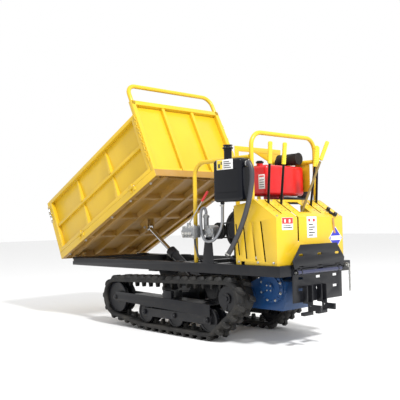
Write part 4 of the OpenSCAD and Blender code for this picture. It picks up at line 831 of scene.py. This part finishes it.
def makeLabels():
    face = hood["back"]
    label("label_warning", at(face, -262, 851), alongY, alongX, (118, 84),
          [(.02, .50, .98, .98, "printRed"), (.22, .60, .34, .86, "printWhite"), (.62, .60, .76, .84, "printWhite"),
           (.10, .14, .90, .22, "printBlack"), (.10, .30, .78, .37, "printBlack")])
    label("label_guide", at(face, 7, 823), alongY, alongX, (112, 150),
          [(.14, .76, .34, .90, "printRed"), (.60, .76, .82, .90, "printRed")]
          + [(.18, .10 + .125 * k, .60 + .2 * (k % 2), .15 + .125 * k, "printBlack") for k in range(5)])
    label("label_tank", at(666, -500.2, 1272), alongX, -alongY, (158, 70),
          [(.02, .04, .36, .96, "gripYellow"), (.09, .18, .22, .60, "printBlack"), (.26, .5, .33, .8, "printBlack")]
          + [(.44, .14 + .2 * k, .90 - .1 * (k % 2), .22 + .2 * k, "printBlack") for k in range(4)])
    label("label_fuel", at(652, -100.1, 1165), alongX, -alongY, (62, 108),
          [(.12, .82, .88, .92, "printRed")]
          + [(.14, .12 + .16 * k, .86, .17 + .16 * k, "printBlack") for k in range(4)])
    # diamond in blue and white
    bm = bmesh.new()
    centre, reach = at(face, 288, 738), .084
    outline = [(0, -1), (1, 0), (0, 1), (-1, 0)]
    for index, grow, lift in ((0, 1., .0006), (1, .93, .0010)):
        rows = [[bm.verts.new(centre + Vector((x, reach * grow * y, reach * grow * z))) for y, z in outline]
                for x in (0, lift)]
        skin(bm, rows, index)
    block(bm, (0, -62, -16), (1.4, 62, 16), matrix=Matrix.Translation(centre))
    settle(bm, "label_diamond", ["printWhite", "printBlue"], "chassis")
    # canvas strap that hangs from the throttle
    bm = bmesh.new()
    stations = ((1019.4, 261, 886), (1019.8, 262, 870), (1020.5, 264, 840), (1019.5, 270, 800), (1019.5, 278, 774))
    section = ((0, -11), (1.4, -11), (1.4, 11), (0, 11))
    skin(bm, [[bm.verts.new(p + Vector((dx / 1000, dy / 1000, 0))) for dx, dy in section]
              for p in smoothPath([at(*station) for station in stations], 4)])
    settle(bm, "throttle_strap", ["strapTan"], "chassis")


hoodFinish()
makeLabels()

levers = dict(pivot=(830, 622), length=808, grip=155, gripRadius=16,
              leans=dict(steer_lever_l=4.3, clutch_lever=6.4, brake_lever=8.8, steer_lever_r=3.4))


def ribbedGrip(bm, foot, axis, length, radius, index, rings=9):
    profile = [(-1, radius * .62), (0, radius * .80), (3, radius)]
    for k in range(rings):
        a = 12 + k * (length - 34) / rings
        profile += [(a, radius), (a + 2, radius * .91), (a + 5, radius * .91), (a + 7, radius)]
    profile += [(length - 12, radius), (length - 5, radius * .93), (length - 1.5, radius * .70), (length, radius * .3)]
    turned(bm, foot, axis, profile, 24, index)


def makeLevers():
    pivotX, pivotZ = levers["pivot"]
    for node, y in leverY.items():
        bm = bmesh.new()
        lean = Matrix.Rotation(radians(levers["leans"][node]), 4, "Y")
        place = Matrix.Translation(at(pivotX, y, pivotZ)) @ lean
        reach = (levers["length"] - levers["grip"]) / 1000
        box(bm, (-.009, -.004, .012), (.009, .004, reach + .004), .0012, 0, place)
        axis = place.to_3x3() @ alongZ
        ribbedGrip(bm, place @ Vector((0, 0, reach)), axis, levers["grip"], levers["gripRadius"], 1)
        turned(bm, at(pivotX, y - 11, pivotZ), alongY, collar(22, 10.2, 20), 28)
        settle(bm, node + "_made", ["leverBlack", "gripYellow"], bodyOf[node], [node])
    foot, tip = at(872, -100, 640), at(1030, 207, 1446)
    axis = (tip - foot).normalized()
    length = (tip - foot).length * 1000
    bm = bmesh.new()
    ball = [(0, 3), (2, 8), (6, 13), (12, 16.4), (17, 17), (22, 16.2), (28, 12), (32, 9.2)]
    turned(bm, foot - axis * .017, axis, ball + [(length - 145, 8.8)], 28)
    ribbedGrip(bm, tip - axis * .150, axis, 150, 15, 1)
    settle(bm, "gear_lever_made", ["khakiPaint", "gripYellow"], "gear_lever", ["gear_lever"])
    # throttle: two knobs on a bar that turns on a hub
    knob, x, y = bmesh.new(), 984, 283
    for reach in (-.036, .036):
        turned(knob, slopePlace(x, y) @ Vector((reach, 0, .006)), slopeUp,
               [(0, 11), (0, 14), (2, 15), (9, 15), (10, 13.6), (12, 13.6), (13, 15), (22, 15), (25, 12.5), (26, 6)],
               28)
    turned(knob, onSlope(x, y, .3), slopeUp, [(0, 15), (0, 16), (10, 16), (13.7, 13), (13.7, 6)], 28)
    block(knob, (-36, -6, 8), (36, 6, 16), 1.5, 0, slopePlace(x, y))
    settle(knob, "throttle_made", ["blackPlastic"], "throttle_lever", ["throttle_lever"])


makeLevers()
footboardSheets()
print("console made")

# engine and drive


def boltRing(centre, axis, radius, count, size, start=0.):
    axis = Vector(axis).normalized()
    side = axis.orthogonal().normalized()
    up = axis.cross(side)
    return [(centre + radius * (cos(a) * side + sin(a) * up), axis, side, size)
            for a in [start + k * 2 * pi / count for k in range(count)]]


driveRounding = dict(
    gearbox_housing=(3.0, "bluePaint"), gearbox_cover=(2.2, "bluePaint"), engine_block=(3.0, "engineIron"),
    flywheel=(1.8, "engineIron"), input_pulley=(1.2, "engineIron"), pump_pulley=(1.0, "engineIron"),
    drive_belts=(1.0, "beltRubber"), fuel_cap=(1.2, "blackPlastic"), hydraulic_pump=(1.8, "castAlloy"),
    control_valve=(1.8, "castAlloy"), cylinder_barrel=(1.4, "blackPaint"))
for node, (width, finishName) in driveRounding.items():
    softened(node, width / 1000, [finishName])


def makeEngineDetails():
    # cooling fins on the cylinder's two sides and top
    bm = bmesh.new()
    for k in range(11):
        x = 696 + 11.5 * k
        block(bm, (x, -126, 722), (x + 3.2, 155, 898), .8, matrix=toFrame)
        block(bm, (x, -112, 896), (x + 3.2, 142, 905), .8, matrix=toFrame)
    settle(bm, "engine_fins", ["castAlloy"], "chassis")
    # side cover with its rim, and a bar on either side of it
    bm = bmesh.new()
    turned(bm, at(560, -205, 815), -alongY, [(0, 60), (0, 84), (3, 88), (5, 88), (6.5, 84), (6.5, 60)], 56)
    for x0, x1 in ((474, 500), (616, 636)):
        block(bm, (x0, -209.5, 688), (x1, -204.5, 936), 2, matrix=toFrame)
    settle(bm, "engine_cover", ["castAlloy"], "chassis")
    spots = boltGrid((482, 628), (-205,), (668, 720, 910, 938), -alongY, alongX, .012)
    spots += boltGrid((442, 676), (-168, -60, 50, 172), (970,), alongZ, alongX, .013)
    spots += boltRing(at(838, 15, 810), alongX, .046, 6, .011)
    coverX, coverZ = 793, 398  # the gearbox's round side cover
    spots += boltRing(at(coverX, -190, coverZ), -alongY, .0945, 8, .013, .4)
    spots += boltRing(at(coverX, -214, coverZ), -alongY, .024, 4, .008)
    driveX, driveZ, _ = track["wheels"][0]
    for side in (1, -1):
        spots += boltRing(at(driveX, side * 200, driveZ), side * alongY, .045, 6, .011)
    flange = ((640, 262), (700, 455), (760, 262), (850, 262), (880, 320), (880, 430), (845, 462))
    spots += [(at(x, 165, z), alongY, alongX, .012) for x, z in flange]
    bolted("engine_bolts", spots, "chassis")


def makeFilterAndMuffler():
    x, y, base = 620, 424, 570
    bm = bmesh.new()
    canister = [(0, 30), (0, 42), (3, 44), (14, 44), (16, 48), (19, 51), (24, 52), (60, 52), (62, 50.4), (70, 50.4),
                (72, 52), (162, 52), (164, 54), (166, 56), (170, 56), (172, 54.6), (184, 54.6), (186, 56), (189, 56),
                (192, 53.5), (193, 34), (196, 30), (208, 30), (210, 27.5), (210, 12)]
    turned(bm, at(x, y, base + 484), alongZ, canister, 48)
    block(bm, (-25, 150 - y, 1000), (25, 20, 1054.5), 4, matrix=Matrix.Translation(at(x, y, 0)))
    settle(bm, "air_filter_made", ["blackPlastic"], "chassis", ["air_filter"])
    # label that wraps the canister and the latch on its lid
    bm = bmesh.new()
    rows = []
    for k in range(13):
        a = radians(-78 + 10 * k)
        out = Vector((cos(a), sin(a), 0))
        corners = ((.0521, 1142), (.0521, 1208), (.0526, 1208), (.0526, 1142))
        rows.append([bm.verts.new(at(x, y, z) + out * r) for r, z in corners])
    skin(bm, rows)
    settle(bm, "label_filter", ["printWhite"], "chassis")
    bm = bmesh.new()
    latchTurn = Matrix.Rotation(radians(-60), 4, "Z")
    block(bm, (52.5, -7, 1206), (58.5, 7, 1244), 1.2, matrix=Matrix.Translation(at(x, y, 0)) @ latchTurn)
    settle(bm, "filter_latch", ["zincSteel"], "chassis")
    bm = bmesh.new()
    my, mz = 290, 1352
    drum = [(0, 20), (0, 45), (1, 47), (7, 47), (8, 44), (60, 44), (61, 45.2), (64, 45.2), (65, 44), (130, 44),
            (131, 45.2), (134, 45.2), (135, 44), (191, 44), (192, 47), (199, 47), (200, 45), (200, 17)]
    turned(bm, at(498, my, mz), alongX, drum, 48)
    turned(bm, at(470, my, 990), alongZ, [(0, 5), (0, 16), (357, 16), (366, 14), (372, 9)], 24)
    turned(bm, at(470, my, mz), alongX, [(-9, 9), (-5, 14), (0, 16), (30, 16)], 24)
    block(bm, (440, 150, 975), (486, 306, 1010), 4, matrix=toFrame)
    settle(bm, "muffler_made", ["exhaustSteel"], "chassis", ["muffler"])


def makeTanks():
    low, high = Vector((540, -500, 1012)), Vector((810, -388, 1312))
    bm = bmesh.new()
    block(bm, low, high, 26, 0, toFrame, 6)
    neck = (644, -444)
    filler = [(0, 30), (5, 30), (8, 28.6), (60, 28.6), (66, 30), (77, 30), (77, 20)]
    turned(bm, at(neck[0], neck[1], high.z - 2), alongZ, filler, 40)
    turned(bm, at(high.x - 20, neck[1], high.z - 42), alongX, [(0, 22), (28, 22), (31, 24), (34, 22), (34, 12)], 32)
    turned(bm, at(low.x + 40, neck[1], low.z - 14), alongZ, [(0, 8), (0, 13), (2, 15), (30, 15)], 24)
    for z in (low.z + 40, high.z - 50):
        block(bm, (low.x + 60, -389, z), (high.x - 60, -376, z + 30), 2, 0, toFrame)
    # two pressed lines across the tank's outer face
    for z in (low.z + 62, low.z + 222):
        block(bm, (low.x + 30, low.y, z), (high.x - 30, low.y + 4, z + 5), 1.5, 0, toFrame)
    settle(bm, "oil_tank_made", ["glossBlack"], "chassis", ["hydraulic_tank"])
    bm = bmesh.new()
    cap = [(0, 28), (0, 36.5), (1, 38), (8, 38), (9, 36.5), (9.5, 31), (13, 31), (14, 29.5), (21, 29.5), (23, 31),
           (23.5, 35), (24.5, 36), (27, 36), (28, 34.5), (28, 22), (26.5, 20)]
    turned(bm, at(neck[0], neck[1], high.z + 75.3), alongZ, cap, 48)
    settle(bm, "tank_cap_made", ["blackPlastic"], "tank_cap", ["tank_cap"])
    bolted("tank_cap_screws", boltRing(at(neck[0], neck[1], high.z + 84), alongZ, .0345, 6, .0055), "tank_cap")
    low, high = Vector((500, -100, 1060)), Vector((700, 350, 1292))
    bm = bmesh.new()
    block(bm, low, high, 30, 0, toFrame, 6)
    for y in (75, 130):
        block(bm, (520, y - 10, 1040), (660, y + 10, 1062), 2, 0, toFrame)
    turned(bm, at(600, -60, high.z - 1), alongZ, [(0, 24), (14, 24), (16, 22), (16, 12)], 32)
    # seam flange round the tank
    block(bm, (low.x + .5, low.y + 22, 1174), (high.x - .1, high.y - 22, 1178), 1, 0, toFrame)
    settle(bm, "fuel_tank_made", ["redPaint"], "chassis", ["fuel_tank"])


hoseRuns = dict(
    suction_hose=dict(radius=18, finish="hoseRubber", steps=5, clamps=(.012, .96),
                      points=[(824.3, -444, 1270), (836, -444, 1270), (848, -444, 1270), (868, -444, 1216),
                              (860, -444, 1112), (820, -440, 982), (740, -434, 820), (650, -430, 690),
                              (600, -430, 632)]),
    return_hose=dict(radius=11, finish="braidedSteel", steps=4, clamps=(.02, .985),
                     points=[(580, -444, 997.7), (578, -444, 942), (568, -440, 860), (520, -432, 785),
                             (450, -424, 738), (375, -420, 735), (330, -414, 785), (316, -412, 860), (316, -412, 920),
                             (318, -404, 968), (321, -378, 980), (323, -364, 953), (323, -364, 939),
                             (323, -364, 925.3)]),
    cylinder_hoses=dict(radius=8, finish="hoseRubber", steps=4, clamps=(.012,),
                        points=[(250, -416, 759.7), (250, -416, 736), (251, -412, 700), (252, -386, 620),
                                (240, -325, 562), (172, -250, 529), (140, -190, 497), (90, -140, 467), (0, -90, 442),
                                (-60, -70, 435)]))


def makeHoses():
    spots = []
    for node, run in hoseRuns.items():
        points = [at(*p) for p in run["points"]]
        path = smoothPath(points, run["steps"])
        bm = bmesh.new()
        sweep(bm, path, run["radius"] / 1000, 24)
        piece = settle(bm, node + "_made", [run["finish"]], "chassis", [node], creaseAngle=50)
        length = sum((b - a).length for a, b in zip(path, path[1:]))
        tuple(path[0])
        [tuple(p) for p in path]
        print("hose", node, round(length, 3))
        for share in run["clamps"]:
            i = max(1, min(len(path) - 2, int(share * (len(path) - 1))))
            along = (path[i + 1] - path[i - 1]).normalized()
            bm = bmesh.new()
            r = run["radius"]
            turned(bm, path[i] - along * .005, along, collar(10, r + .3, r + 2.1, .6, .3), 32)
            side = along.orthogonal().normalized()
            spots.append((path[i] + side * (r + 2) / 1000, side, along, .008))
            settle(bm, node + "_clamp" + str(i), ["zincSteel"], "chassis")
    bolted("clamp_screws", spots, "chassis")


def makeHydraulicDetails():
    spots = boltGrid((180, 216, 251, 286), (-470,), (768, 838), -alongY, alongX, .011)
    spots += boltGrid((200, 235, 270), (-486,), (790,), -alongY, alongX, .019)
    spots += boltGrid((240, 284), (-460, -408), (846,), alongZ, alongX, .012)
    spots += boltGrid((144,), (-434,), (806,), -alongX, alongY, .024)
    spots += boltRing(at(385, -396, 807), -alongY, .034, 6, .011)
    spots += boltRing(at(323, -364, 919), alongZ, .0205, 4, .006)
    bolted("hydraulic_bolts", spots, "chassis")
    bm = bmesh.new()
    turned(bm, at(385, -396, 807), -alongY, [(0, 20), (0, 24), (4, 24), (6, 21), (6, 8)], 36)
    for z in (775, 820):
        block(bm, (168, -472, z), (298, -396, z + 5), 1, 0, toFrame)
    settle(bm, "valve_bands", ["castAlloy"], "chassis")
    # operating lever: thin rod with a red grip
    lean = Matrix.Translation(at(205, -433, 862)) @ Matrix.Rotation(radians(42), 4, "Y")
    axis = lean.to_3x3() @ alongZ
    bm = bmesh.new()
    turned(bm, at(205, -438.5, 862), alongY, collar(11, 4.1, 9, 1, .8), 28)
    turned(bm, lean @ Vector((0, 0, .008)), axis, [(0, 4), (220, 4)], 16)
    ribbedGrip(bm, lean @ Vector((0, 0, .225)), axis, 95, 10, 1, 6)
    settle(bm, "valve_lever_made", ["zincSteel", "gripRed"], "valve_lever", ["valve_lever"])


makeEngineDetails()
makeFilterAndMuffler()
makeTanks()
makeHoses()
makeHydraulicDetails()
print("engine and hydraulics made")

# floor, light and camera

def studio():
    bpy.ops.mesh.primitive_plane_add(size=60, location=(0, 0, 0))
    floor = bpy.context.object
    floor.name = "floor"
    pale = bpy.data.materials.new("paleFloor")
    pale.use_nodes = True
    shader = pale.node_tree.nodes["Principled BSDF"]
    shader.inputs["Base Color"].default_value = (.86, .86, .86, 1)
    shader.inputs["Roughness"].default_value = .9
    floor.data.materials.append(pale)
    world = bpy.data.worlds.new("studio")
    bpy.context.scene.world = world
    world.use_nodes = True
    world.node_tree.nodes["Background"].inputs[0].default_value = (1, 1, 1, 1)
    world.node_tree.nodes["Background"].inputs[1].default_value = 1.
    light = placed("key", bpy.data.lights.new("key", "AREA"))
    light.data.size, light.data.energy = .8, 760
    light.location = (6.4, -1.6, 6.6)
    light.rotation_euler = (alongZ * .8 - light.location).to_track_quat("-Z", "Y").to_euler()


def photoCamera(azimuth=47.117, elevation=-2.041, roll=-1.206, distance=5.095, target=(59, -178, 1052), lens=57.29):
    a, e, r = radians(azimuth), radians(elevation), radians(roll)
    back = Vector((sin(a) * cos(e), -cos(a) * cos(e), sin(e)))
    right = Vector((cos(a), sin(a), 0))
    up = back.cross(right)
    level = cos(r) * right + sin(r) * up
    tall = -sin(r) * right + cos(r) * up
    camera = placed("camera", bpy.data.cameras.new("camera"))
    camera.data.lens, camera.data.sensor_width = lens, 36
    turn = Matrix((level, tall, back)).transposed().to_4x4()
    camera.matrix_world = Matrix.Translation(at(*target) + back * distance) @ turn
    bpy.context.scene.camera = camera
    bpy.context.scene.view_settings.view_transform = "Standard"


studio()
photoCamera()

for shape in shapes.values():
    bpy.data.objects.remove(shape)
print("done")
